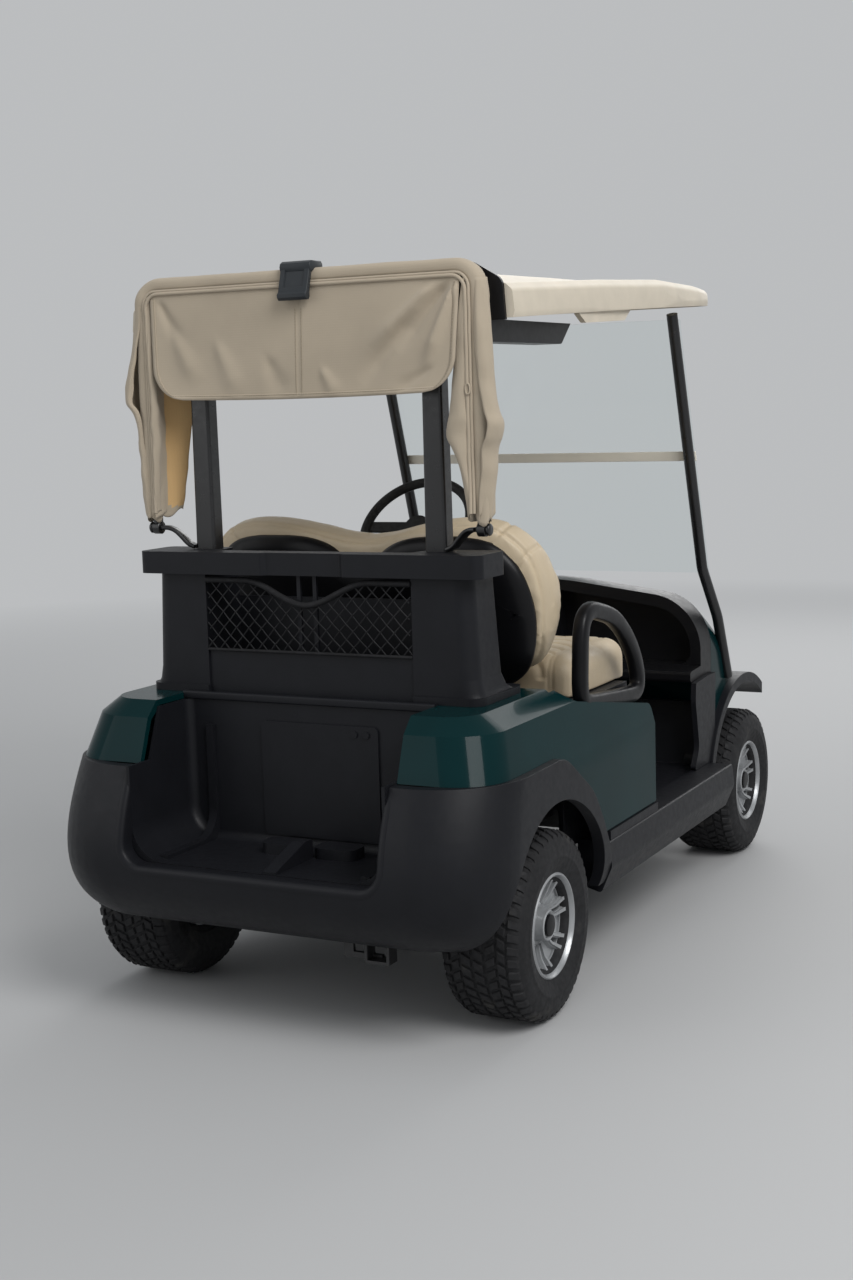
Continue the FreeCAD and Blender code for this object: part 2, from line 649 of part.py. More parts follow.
loop_front = pod_front + S.loop_start
canopy_front = front_axle + S.canopy_start
canopy_rear = pillar_rear - S.canopy_lead
holder_front = canopy_rear - S.holder_length
rear_strut_front = pillar_rear - S.rear_strut_lead
strut_top_y = canopy_front + S.strut_top_setback
strut_knee_y = front_axle + S.strut_knee_setback
strut_foot_y = front_axle + S.strut_foot_setback
cowl_rear = front_axle + S.cowl_setback
dash_rear = cowl_rear + S.dash_depth
dash_lip = cowl_rear + S.dash_shelf
wheel_y = cowl_rear + S.wheel_setback
hitch_y = half_length - S.hitch_inset
pivot_y = canopy_rear + S.pivot_setback
flap_front = pivot_y + S.flap_setback
curtain_front = pivot_y - S.curtain_lead
curtain_rear = pivot_y + S.curtain_setback

# Distances from the centre plane, from the wheels and the frame.
kingpin_offset = S.front_track / 2 - S.kingpin_inset
front_arch_inner = kingpin_offset - S.arch_inner_inset
body_half = half_width - S.flare_step
crease_half = body_half - S.body_lean
body_top_half = crease_half - S.crease_width
sill_outer = half_width - S.sill_inset
floor_half = sill_outer - S.sill_width
kick_outer = floor_half + S.kick_width
flare_outer = S.front_track / 2 + S.front_flare_reach
flange_inner = floor_half + S.flange_gap
seat_half = floor_half - S.seat_inset
back_half = seat_half - S.back_inset
loop_inner = body_half - S.loop_inset
cowl_half = floor_half + S.cowl_overlap
bumper_bottom_half = half_width - S.bumper_bottom_inset
bumper_top_half = half_width - S.bumper_top_inset
canopy_half = half_width - S.canopy_inset
front_strut_offset = canopy_half - S.front_strut_inset
glass_half = front_strut_offset + S.glass_overlap
holder_half = canopy_half - S.holder_inset
cap_half = canopy_half - S.cap_inset
pillar_outer = S.pillar_inner + S.pillar_width
pillar_top_outer = pillar_outer - S.pillar_taper
rack_half = pillar_outer + S.rack_overhang
rear_strut_offset = S.pillar_inner + S.rear_strut_inset
pivot_half = rack_half + S.pivot_overhang
bow_half = pivot_half - S.bow_inset
flap_half = bow_half - S.flap_inset
curtain_inner = bow_half - S.curtain_inset
curtain_outer = bow_half + S.curtain_reach
cross_reach = S.spring_offset + S.cross_overhang
floor_cross_reach = floor_half - S.floor_cross_inset

# Heights, from the axles upwards.
frame_bottom = axle_height + S.frame_drop
frame_top = frame_bottom + S.frame_height
toe_top = frame_top + S.toe_height
deck_top = frame_top + S.deck_height
step_top = frame_top + S.step_height
sill_top = step_top + S.sill_lift
sill_bottom = step_top - S.sill_height
panel_bottom = sill_top + S.panel_gap
panel_front_height = deck_top - S.panel_front_drop
shelf_edge = deck_top + S.shelf_edge_lift
shelf_height = deck_top + S.shelf_lift
crease_height = shelf_height - S.crease_drop
bumper_bottom = frame_bottom - S.bumper_drop
bumper_belly_low = bumper_bottom + S.belly_low_rise
bumper_belly_high = bumper_bottom + S.belly_high_rise
bumper_top = bumper_bottom + S.bumper_height
well_floor = frame_top + S.well_floor_rise
lip_height = well_floor - S.lip_drop
access_bottom = well_floor + S.access_rise
access_top = shelf_height - S.access_drop
tray_top = shelf_height + S.tray_height
net_rim = tray_top + S.net_height
net_rim_end = net_rim + S.net_sag
rack_top = shelf_height + S.rack_height
loop_top = deck_top + S.loop_height
canopy_rear_base = rack_top + S.canopy_clear
canopy_front_base = canopy_rear_base + S.canopy_rise
canopy_rail = canopy_rear_base + S.canopy_side
canopy_crown = canopy_rail + S.canopy_dome
holder_base = canopy_rear_base - S.holder_height
strut_top_z = canopy_front_base - S.strut_top_drop
cowl_crown = deck_top + S.crown_lift
cowl_shoulder = cowl_crown - S.shoulder_drop
strut_knee_z = cowl_crown - S.knee_drop
strut_foot_z = strut_knee_z - S.foot_drop
glass_low = cowl_crown + S.glass_lift
glass_top = canopy_front_base - S.glass_drop
glass_fold = glass_low + S.glass_lower_height
cowl_base = frame_top + S.cowl_rise
nose_bottom = frame_bottom - S.nose_drop
dash_bottom = cowl_crown - S.dash_height
wheel_z = deck_top + S.wheel_lift
pivot_z = rack_top + S.pivot_lift
bow_top = canopy_crown - S.bow_drop
latch_top = bow_top + S.latch_rise
flap_bottom = bow_top - S.flap_height
curtain_bottom = pivot_z + S.curtain_lift
arm_height = axle_height - S.arm_drop


# Wheels: a tyre and a rim with its silver cover, built about their own middle.

def tyre(name, side, x, y):
    """A tubeless tyre as one closed ring; its tread is smooth."""
    half, tread, bead = S.tyre_width / 2, S.tread_width / 2, S.bead_width / 2
    bore = S.rim_radius + S.rim_seat_gap
    profile = (
        (-bead, bore), (bead, bore),
        (half, S.sidewall_inner, S.sidewall_radius), (half, S.sidewall_outer, S.sidewall_radius),
        (tread, S.tyre_radius, S.tread_edge_radius), (-tread, S.tyre_radius, S.tread_edge_radius),
        (-half, S.sidewall_outer, S.sidewall_radius), (-half, S.sidewall_inner, S.sidewall_radius),
    )
    return node(name, place(revolved(name, profile), x * side, y, axle_height))


def rim(name, side, x, y):
    """Barrel, hub and spoked cover in one piece; the outside faces +X before it is placed."""
    bead = S.bead_width / 2
    inner = S.rim_radius - S.rim_wall
    bore = S.spindle_radius + S.running_gap
    slope = S.disc_hub + S.disc_thickness
    profile = (
        (-bead - 16, inner), (bead - 18, inner),
        (S.disc_hub, S.hub_radius), (-24, S.hub_radius),
        (-24, bore), (S.hub_face, bore), (S.hub_face, S.hub_radius - 4), (slope, S.hub_radius),
        (bead + 4, inner), (S.cover_face, cover_radius - S.cover_lip), (S.cover_face, cover_radius - 3),
        (S.cover_face - 5, cover_radius), (bead + 24, cover_radius), (bead + 2, S.rim_radius),
        (-bead - 16, S.rim_radius),
    )
    outline = [(u * side, v) for u, v in profile]
    body = revolved(name, outline if side == LEFT else outline[::-1])
    slot = (
        (-S.slot_inner_width / 2, S.slot_inner), (S.slot_inner_width / 2, S.slot_inner),
        (S.slot_outer_width / 2, S.slot_outer, 8.0), (-S.slot_outer_width / 2, S.slot_outer, 8.0),
    )
    opening = sketch(body, "YZ", slot)
    pocket = body.newObject("PartDesign::Pocket", name + "_slot")
    pocket.Profile = opening
    pocket.Type = "ThroughAll"
    pocket.Midplane = True
    document.recompute()
    pattern = body.newObject("PartDesign::PolarPattern", name + "_slots")
    pattern.Originals = [pocket]
    pattern.Axis = ([f for f in body.Origin.OriginFeatures if f.Role == "X_Axis"][0], [""])
    pattern.Angle = 360.0
    bind(pattern, "Occurrences", S.slot_count)
    body.Tip = pattern
    return node(name, place(body, x * side, y, axle_height))


for place_name, axle, track in (("front", front_axle, S.front_track), ("rear", rear_axle, S.rear_track)):
    for side in (LEFT, RIGHT):
        tyre(f"tyre_{place_name}_{SIDE_NAMES[side]}", side, track / 2, axle)
        rim(f"rim_{place_name}_{SIDE_NAMES[side]}", side, track / 2, axle)


# Chassis: two rails with cross members.

def tow_bracket():
    """The rectangular loop below the bumper, with its arm up to a frame rail."""
    x = (S.hitch_x - S.hitch_width / 2, S.hitch_x + S.hitch_width / 2)
    top = bumper_bottom - 2.0
    z = (top - S.hitch_height, top)
    rear = hitch_y
    solid = box("hitch_solid", x, (rear - 40.0, rear), z)
    plate = S.hitch_plate
    hole = box("hitch_hole", (x[0] + plate, x[1] - plate), (rear - 50.0, rear + 10.0),
               (z[0] + plate, z[1] - plate))
    inner = S.rail_offset + S.rail_width / 2
    link = box("hitch_link", (S.hitch_x, -inner + 25.0), (rear - 40.0, rear - 28.0), (z[0], z[0] + 14.0))
    arm = box("hitch_arm", (-inner, -inner + 25.0), (rear - 40.0, rear - 28.0), (z[0], frame_bottom + 10.0))
    return [cut("hitch_loop", solid, hole), link, arm]


cross_bottom = frame_top - S.cross_height


def chassis():
    """The ladder frame under the floor and the seat."""
    z = (frame_bottom, frame_top)
    inner, outer = S.rail_offset - S.rail_width / 2, S.rail_offset + S.rail_width / 2
    rail = box("rail", (inner, outer), (rail_front, rail_rear), z)
    members = [rail, mirror("rail_other", rail)]
    stations = (
        # name, middle along the length, half width
        ("nose", rail_front + S.cross_width / 2, outer),
        ("floor", floor_front + 140.0, floor_cross_reach),
        ("doorway", pod_front - 40.0, floor_cross_reach),
        ("spring_front", rear_axle - S.spring_span / 2, cross_reach),
        ("tail", rear_axle + S.spring_span / 2 - 30.0, cross_reach),
    )
    for label, middle, reach in stations:
        y = (middle - S.cross_width / 2, middle + S.cross_width / 2)
        members.append(box("cross_" + label, (-reach, reach), y, (cross_bottom, frame_top)))
    return node("chassis_frame", fuse("chassis_frame", *members, *tow_bracket()))


chassis()


# Rear axle: tube, gear case, motor, brake drums, spindles and leaf springs.

def rear_axle_unit():
    """Everything that carries the rear wheels, as one solid."""
    drum_outer = S.rear_track / 2 - S.bead_width / 2 - 34.0
    tip = S.rear_track / 2 + S.spindle_reach
    pieces = [
        cylinder("axle_tube", "x", (-drum_outer, rear_axle, axle_height), S.axle_tube_radius, drum_outer * 2),
        cylinder("axle_spindle", "x", (-tip, rear_axle, axle_height), S.spindle_radius, tip * 2),
        cylinder("gear_case", "x", (-S.gearcase_width / 2, rear_axle, axle_height), S.gearcase_radius,
                 S.gearcase_width),
        cylinder("motor", "x", (S.gearcase_width / 2, rear_axle - 150.0, axle_height - 36.0),
                 S.motor_radius, S.motor_length),
        box("motor_mount", (-40.0, S.gearcase_width / 2 + 20.0), (rear_axle - 190.0, rear_axle),
            (axle_height - 60.0, axle_height + 20.0)),
    ]
    for side in (LEFT, RIGHT):
        start = drum_outer - S.drum_width if side == LEFT else -drum_outer
        pieces.append(cylinder(f"drum_{SIDE_NAMES[side]}", "x", (start, rear_axle, axle_height),
                               S.drum_radius, S.drum_width))
        low = side * S.spring_offset - S.spring_width / 2
        reach = S.spring_span / 2 - 10.0
        end_top, belly = frame_bottom - 2.0, axle_height - S.axle_tube_radius - 14.0
        leaves = S.spring_thickness
        spring = (
            (rear_axle - reach, end_top - leaves), (rear_axle, belly, 900.0),
            (rear_axle + reach, end_top - leaves), (rear_axle + reach, end_top),
            (rear_axle, belly + leaves, 900.0), (rear_axle - reach, end_top),
        )
        pieces.append(prism(f"spring_{SIDE_NAMES[side]}", "YZ", spring, low, low + S.spring_width))
        for end, middle in (("front", rear_axle - reach), ("rear", rear_axle + reach)):
            pieces.append(box(f"hanger_{end}_{SIDE_NAMES[side]}", (low, low + S.spring_width),
                              (middle - 10.0, middle + 10.0), (frame_bottom - 8.0, cross_bottom - S.fit_gap)))
        pieces.append(box(f"spring_seat_{SIDE_NAMES[side]}", (low, low + S.spring_width),
                          (rear_axle - 40.0, rear_axle + 40.0),
                          (axle_height - S.axle_tube_radius - 6.0, axle_height)))
    return node("rear_axle", fuse("rear_axle", *pieces))


rear_axle_unit()


# Front axle: beam, yokes and kingpins, with the steering gear's housing.

arm_z = arm_height
rod_z = arm_z - S.tie_rod_drop
rod_y = front_axle + S.arm_length
knuckle_low = axle_height - S.knuckle_height / 2
knuckle_high = axle_height + S.knuckle_height / 2


def front_axle_unit():
    """The fixed part of the front axle."""
    ear = S.ear_thickness
    web_outer = kingpin_offset - S.knuckle_radius - 12.0
    pieces = [cylinder("beam", "x", (-web_outer, front_axle, axle_height), S.beam_radius, web_outer * 2)]
    for side in (LEFT, RIGHT):
        word = SIDE_NAMES[side]
        ends = [side * (web_outer - ear), side * (kingpin_offset + 20.0)]
        x = (min(ends, key=float), max(ends, key=float))
        y = (front_axle - 15.0, front_axle + 15.0)
        low = (knuckle_low - 1.0 - ear, knuckle_low - 1.0)
        high = (knuckle_high + 1.0, knuckle_high + 1.0 + ear)
        web = [side * (web_outer - ear), side * web_outer]
        pieces += [
            box(f"ear_low_{word}", x, y, low),
            box(f"ear_high_{word}", x, y, high),
            box(f"web_{word}", (min(web, key=float), max(web, key=float)), y, (low[0], high[1])),
            cylinder(f"kingpin_{word}", "z", (side * kingpin_offset, front_axle, low[0]),
                     S.kingpin_radius, high[1] - low[0]),
        ]
    housing = box("gear_housing", (-95.0, 95.0), (rod_y - 22.0, rod_y + 22.0), (rod_z - 20.0, rod_z + 24.0))
    bracket = box("gear_bracket", (-60.0, 60.0), (front_axle, rod_y + 22.0), (rod_z + 20.0, rod_z + 34.0))
    bore = cylinder("gear_bore", "x", (-100.0, rod_y, rod_z), S.tie_rod_radius + S.running_gap, 200.0)
    seat_half_width = S.rail_offset + S.rail_width / 2
    seat = box("beam_seat", (-seat_half_width, seat_half_width), (front_axle - 30.0, front_axle + 30.0),
               (axle_height, frame_bottom - S.fit_gap))
    solid = fuse("front_axle_solid", *pieces, housing, bracket, seat)
    return node("front_axle", cut("front_axle", solid, bore))


front_axle_unit()


def knuckle(side):
    """A steered knuckle: boss, spindle and steering arm."""
    word = SIDE_NAMES[side]
    x = side * kingpin_offset
    tip = S.front_track / 2 + S.spindle_reach
    boss = cylinder(f"boss_{word}", "z", (x, front_axle, knuckle_low), S.knuckle_radius, S.knuckle_height)
    start = x if side == LEFT else -tip
    spindle = cylinder(f"spindle_{word}", "x", (start, front_axle, axle_height), S.spindle_radius,
                       tip - kingpin_offset)
    end_x = side * (kingpin_offset - S.arm_inset)
    half = S.arm_width / 2
    corners = (
        (x - half, front_axle), (x + half, front_axle),
        (end_x + half, rod_y + half, half - 2.0), (end_x - half, rod_y + half, half - 2.0),
    )
    arm = prism(f"arm_{word}", "XY", corners, arm_z - S.arm_thickness / 2, arm_z + S.arm_thickness / 2)
    bore = cylinder(f"bore_{word}", "z", (x, front_axle, knuckle_low - 5.0), S.kingpin_radius + S.running_gap,
                    S.knuckle_height + 10.0)
    name = f"knuckle_{word}"
    return node(name, cut(name, fuse(name + "_solid", boss, spindle, arm), bore))


for side in (LEFT, RIGHT):
    knuckle(side)


def tie_rods():
    """The steering rod with an end under each steering arm."""
    reach = kingpin_offset - S.arm_inset
    rod = cylinder("rod", "x", (-reach, rod_y, rod_z), S.tie_rod_radius, reach * 2)
    top = arm_z - S.arm_thickness / 2 - 1.0
    ends = [cylinder(f"rod_end_{SIDE_NAMES[side]}", "z", (side * reach, rod_y, rod_z - 10.0), S.tie_rod_eye,
                     top - rod_z + 10.0) for side in (LEFT, RIGHT)]
    return node("tie_rods", fuse("tie_rods", rod, *ends))


tie_rods()


# Floor, sills and the support under the seat.

floor_top = frame_top + S.floor_thickness
floor_corners = (
    (floor_front - S.toe_reach, toe_top), (floor_front - S.toe_reach - S.floor_thickness, toe_top),
    (floor_front - S.floor_thickness, frame_top), (pod_front - S.fit_gap, frame_top),
    (pod_front - S.fit_gap, floor_top), (floor_front, floor_top),
)
floor_blank = prism("floor_blank", "YZ", floor_corners, -floor_half, floor_half)


def front_wheel_space(name):
    """What the steered wheels sweep, as a pair of solids to cut away."""
    ring = cylinder(name + "_ring", "x", (front_arch_inner, front_axle, axle_height), front_arch_radius,
                    half_width)
    foot, foot_reach = kingpin_offset - S.sweep_foot, S.sweep_foot_reach
    side, side_reach = kingpin_offset + S.sweep_side, S.sweep_side_reach
    outer = half_width + 50.0
    corners = (
        (foot, front_axle - foot_reach), (side, front_axle - side_reach), (outer, front_axle - side_reach),
        (outer, front_axle + side_reach), (side, front_axle + side_reach), (foot, front_axle + foot_reach),
        (kingpin_offset + 2.0, front_axle),
    )
    sweep = prism(name + "_sweep", "XY", corners, -100.0, cowl_crown)
    left = common(name + "_left", ring, sweep)
    return fuse(name, left, mirror(name + "_right", left))


def front_flare(name, extra):
    """The solid segment over the left front wheel that its flare is cut from."""
    start = (flare_outer - S.flare_width - extra, front_axle, axle_height)
    disc = cylinder(name + "_disc", "x", start, front_arch_radius + S.flare_thickness + extra,
                    S.flare_width + extra * 2)
    top = axle_height + front_arch_radius + S.flare_thickness + 50.0
    keep = box(name + "_keep", (flare_outer - S.flare_width - extra, flare_outer + extra),
               (front_axle - S.flare_nose - extra, front_axle + S.flare_tail),
               (axle_height + S.flare_foot - extra, top))
    return common(name, disc, keep)


wheel_space = front_wheel_space("wheel_space")
flare_room_left = front_flare("flare_room", S.fit_gap)
flare_room = fuse("flare_rooms", flare_room_left, mirror("flare_room_other", flare_room_left))
node("floor_pan", cut("floor_pan", floor_blank, wheel_space, flare_room))


def sills():
    """The moulded rocker below each doorway, higher under the side panel."""
    low = (
        (floor_half + S.fit_gap, sill_bottom + 18.0), (sill_outer - S.sill_tuck, sill_bottom, 10.0),
        (sill_outer, sill_bottom + 70.0, 30.0), (sill_outer - 6.0, step_top, 8.0),
        (floor_half + S.fit_gap, step_top),
    )
    step = prism("sill_step", "XZ", low, floor_front + 8.0, sill_rear)
    strip = box("sill_strip", (body_half - S.body_wall - 16.0, sill_outer - 10.0),
                (pod_front + 2.0, sill_rear - 20.0), (step_top, sill_top))
    return both("sills", fuse("sill_left", step, strip))


sills()


def seat_pod():
    """Front wall, sides and deck that carry the seat."""
    front = (pod_front, pod_front + S.pod_wall)
    half = floor_half - 1.0
    wall = box("pod_wall_front", (-half, half), front, (floor_top, deck_top))
    deck = box("pod_deck", (-half, half), (pod_front, deck_rear), (deck_top - S.pod_wall, deck_top))
    leg_half = S.battery_half + 40.0
    leg = box("pod_leg", (-leg_half, leg_half), (deck_rear - S.pod_wall, deck_rear),
              (frame_top + S.fit_gap, deck_top))
    cheek = box("pod_side", (half - S.pod_wall, half), (pod_front, deck_rear - S.pod_side_gap),
                (floor_top, deck_top))
    return node("seat_pod", fuse("seat_pod", wall, deck, leg, cheek, mirror("pod_side_other", cheek)))


seat_pod()
node("battery_pack", box("battery_pack", (-S.battery_half, S.battery_half), (battery_front, battery_rear),
                         (frame_top + S.fit_gap, frame_top + S.battery_height)))


# Rear body: the coloured side panels with the shelf that carries the bag rack.

def plan(half, rear, front, corner):
    """Plan outline of a U-shaped moulding, rounded at its rear corners."""
    return ((-half, front), (half, front), (half, rear, corner), (-half, rear, corner))


def side_panel_profile(inset):
    """Side view of the rear body, drawn in below its top by an inset: what lies outside it is cut away."""
    top, low = shelf_height - inset, panel_bottom - inset * 4
    front, rear = panel_front + inset, body_rear + 20.0
    return (
        (front, low), (rear, low), (rear, top), (deck_rear + 2.0, top),
        (deck_rear - S.flange_run, shelf_edge + 8.0 - inset, 60.0), (front, panel_front_height - inset, 20.0),
    )


def fender_profile():
    """Side view of the bumper and its flares, with the wheel arch left out."""
    foot = sill_rear + S.fit_gap
    return (
        (foot, bumper_bottom - 5.0), (half_length + 20.0, bumper_bottom - 5.0),
        (half_length + 20.0, bumper_top), (rear_axle + 120.0, bumper_top, 160.0),
        (rear_axle - 60.0, bumper_top + 2.0, 120.0), (rear_axle - 215.0, bumper_top - 110.0, 160.0),
        (foot, bumper_bottom + 60.0, 40.0),
    )


def lifted_fender():
    """The same side view, a seat's gap larger at the top, for trimming the panels above it."""
    lifted = [(corner[0], corner[1] + S.fit_gap, *corner[2:]) for corner in fender_profile()]
    ahead, below = sill_rear - 5.0, panel_bottom - 90.0
    lifted[0] = (ahead, below)
    lifted[1] = (lifted[1][0], below)
    lifted[-1] = (ahead, bumper_bottom + 60.0, 10.0)
    return lifted


def body_rows(inset):
    """Plan outlines of the rear body from its foot to its top, drawn in by an inset."""
    rows = (
        # height, half width, rear face, rounding of the rear corner
        (panel_bottom - 10.0 - inset, body_half, body_rear + 40.0, S.body_corner),
        (bumper_top - 30.0, body_half, body_rear, S.body_corner),
        (crease_height - inset / 2, crease_half, crease_rear, S.body_corner),
        (shelf_height - inset, body_top_half, body_top_rear, S.body_corner - S.crease_depth),
    )
    return [(z, plan(half - inset, rear - inset, panel_front + inset, corner - inset))
            for z, half, rear, corner in rows]


def rear_body():
    """Both side panels and the shelf with its creased edge, hollow below, open at the bag well."""
    wall = S.body_wall
    low, high = panel_bottom - 10.0, shelf_height
    outer = loft("body_outer", "XY", body_rows(0.0), ruled=True)
    inner = loft("body_inner", "XY", body_rows(wall), ruled=True)
    side = prism("body_side", "YZ", side_panel_profile(0.0), -half_width, half_width)
    hollow = prism("body_hollow", "YZ", side_panel_profile(wall), -half_width, half_width)
    shell = cut("body_shell", common("body_trimmed", outer, side), common("body_void", inner, hollow))
    well = box("body_well", (-S.well_half, S.well_half), (well_back, half_length), (low - 5.0, high + 5.0))
    seat_space = box("body_seat_space", (-flange_inner, flange_inner), (panel_front - 10.0, deck_rear + 25.0),
                     (low - 5.0, high + 5.0))
    bumper_room = prism("body_bumper_room", "YZ", lifted_fender(), -half_width - 10.0, half_width + 10.0)
    return node("rear_body", cut("rear_body", shell, well, seat_space, bumper_room))


rear_body()


def bumper_plan(inset):
    """Plan outlines of the bumper at four heights, drawn in by an inset."""
    corner = S.bumper_corner - inset
    front = sill_rear - 20.0
    rows = (
        # height, rear face, half width
        (bumper_bottom, bumper_bottom_rear, bumper_bottom_half),
        (bumper_belly_low, half_length - 5.0, half_width - 5.0),
        (bumper_belly_high, half_length - 2.0, half_width - 2.0),
        (bumper_top + 12.0, bumper_top_rear, bumper_top_half),
    )
    return [(z, plan(half - inset, rear - inset, front - inset / 10, corner)) for z, rear, half in rows]


def rear_bumper():
    """The dark wrap-round moulding: bumper, rear flares and wheel arches."""
    outer = loft("bumper_outer", "XY", bumper_plan(0.0))
    rows = bumper_plan(S.bumper_wall)
    rows[0] = (rows[0][0] - 3.0, rows[0][1])
    rows[-1] = (rows[-1][0] + 3.0, rows[-1][1])
    inner = loft("bumper_inner", "XY", rows)
    side = prism("bumper_side", "YZ", fender_profile(), -half_width - 10.0, half_width + 10.0)
    arch = cylinder("bumper_arch", "x", (-half_width - 20.0, rear_axle, axle_height), arch_radius,
                    (half_width * 2) + 40.0)
    corners = (
        (-S.well_half, lip_height, 55.0), (S.well_half, lip_height, 55.0),
        (S.well_half, bumper_top + 40.0), (-S.well_half, bumper_top + 40.0),
    )
    mouth = prism("bumper_mouth", "XZ", corners, well_back, half_length + 30.0)
    return node("rear_bumper", cut("rear_bumper", common("bumper_trimmed", outer, side), inner, arch, mouth))


rear_bumper()


# Bag well: a liner with a floor, a back wall, side walls and a dividing wedge.

def hollow_tray(name, corners, start, end):
    """A prism along the cart whose front end is rounded all round, for the space inside the well."""
    body = prism(name, "XZ", corners, start, end)
    document.recompute()
    pad = body.Tip
    wanted = []
    for number, edge in enumerate(pad.Shape.Edges, start=1):
        extent = edge.BoundBox
        at_front = abs(extent.YMin) < 0.01 and abs(extent.YMax) < 0.01
        if at_front and extent.ZMin < float(shelf_height) - 60.0:
            wanted.append(f"Edge{number}")
    rounding = body.newObject("PartDesign::Fillet", name + "_rounding")
    rounding.Base = (pad, wanted)
    bind(rounding, "Radius", S.well_rounding)
    body.Tip = rounding
    return body


def bag_well():
    """The open-backed tray that holds the bags' feet, rounded like a bath at its back and floor."""
    wall = S.well_wall
    half = S.well_half - S.fit_gap
    top = shelf_height - S.body_wall - 1.0
    front = well_back + S.fit_gap
    rear = half_length - S.bumper_wall - 8.0
    outer = box("well_outer", (-half, half), (front, rear), (well_floor - wall, top))
    corners = (
        (-half + wall, well_floor, S.well_corner), (half - wall, well_floor, S.well_corner),
        (half - wall, top + 10.0), (-half + wall, top + 10.0),
    )
    inner = hollow_tray("well_inner", corners, front + wall, rear + 10.0)
    slope = (
        (crease_rear + 8.0, bumper_top + 4.0), (rear + 20.0, bumper_top + 4.0), (rear + 20.0, top + 20.0),
        (body_top_rear - 10.0, top + 20.0),
    )
    trim = prism("well_trim", "YZ", slope, -half - 10.0, half + 10.0)
    wedge_half = S.divider_width / 2
    start = well_back + S.divider_start
    wedge_corners = (
        (start, well_floor - 1.0), (rear, well_floor - 1.0), (rear, well_floor + 6.0),
        (start + 34.0, well_floor + S.divider_height, 14.0), (start, well_floor + S.divider_height, 8.0),
    )
    wedge = prism("well_wedge", "YZ", wedge_corners, S.divider_x - wedge_half, S.divider_x + wedge_half)
    heels = []
    for word, side in (("left", LEFT), ("right", RIGHT)):
        inner_x = S.divider_x + side * (wedge_half - 1.0)
        ends = (inner_x, inner_x + side * S.heel_width)
        low_x, high_x = min(ends, key=float), max(ends, key=float)
        heels.append(prism(f"well_heel_{word}", "XY", (
            (low_x, start - 62.0, 18.0), (high_x, start - 62.0, 18.0), (high_x, start + 8.0, 26.0),
            (low_x, start + 8.0, 26.0)), well_floor - 1.0, well_floor + S.heel_height))
    face, raised = front + wall - 1.0, S.ridge_height + 1.0
    floor = well_floor - 1.0
    ridge = prism("well_ridge", "YZ", (
        (face, top - 60.0), (face + raised, top - 60.0), (face + raised, floor + raised, 70.0),
        (rear - 30.0, floor + raised), (rear - 30.0, floor), (face, floor)),
        S.ridge_x - S.ridge_width / 2, S.ridge_x + S.ridge_width / 2)
    return node("bag_well", fuse("bag_well", cut("well_open", outer, inner, trim), wedge, *heels,
                                 ridge, mirror("well_ridge_other", ridge)))


bag_well()

access_y = well_back + S.fit_gap + S.well_wall + S.fit_gap
access_corners = (
    (S.access_right, access_bottom, 14.0), (S.access_left, access_bottom, 14.0),
    (S.access_left, access_top, 14.0), (S.access_right, access_top, 14.0),
)
access_plate = prism("access_plate", "XZ", access_corners, access_y, access_y + S.access_thickness)
latches = []
for number, offset in enumerate((30.0, 62.0), start=1):
    start = (S.access_right + offset, access_y, access_top - 20.0)
    latches.append(cylinder(f"access_latch_{number}", "y", start, 8.0, S.access_thickness + 4.0))
node("access_panel", fuse("access_panel", access_plate, *latches))


# Bag rack: two hollow-looking pillars, the crossbar and the basket's solid wall.

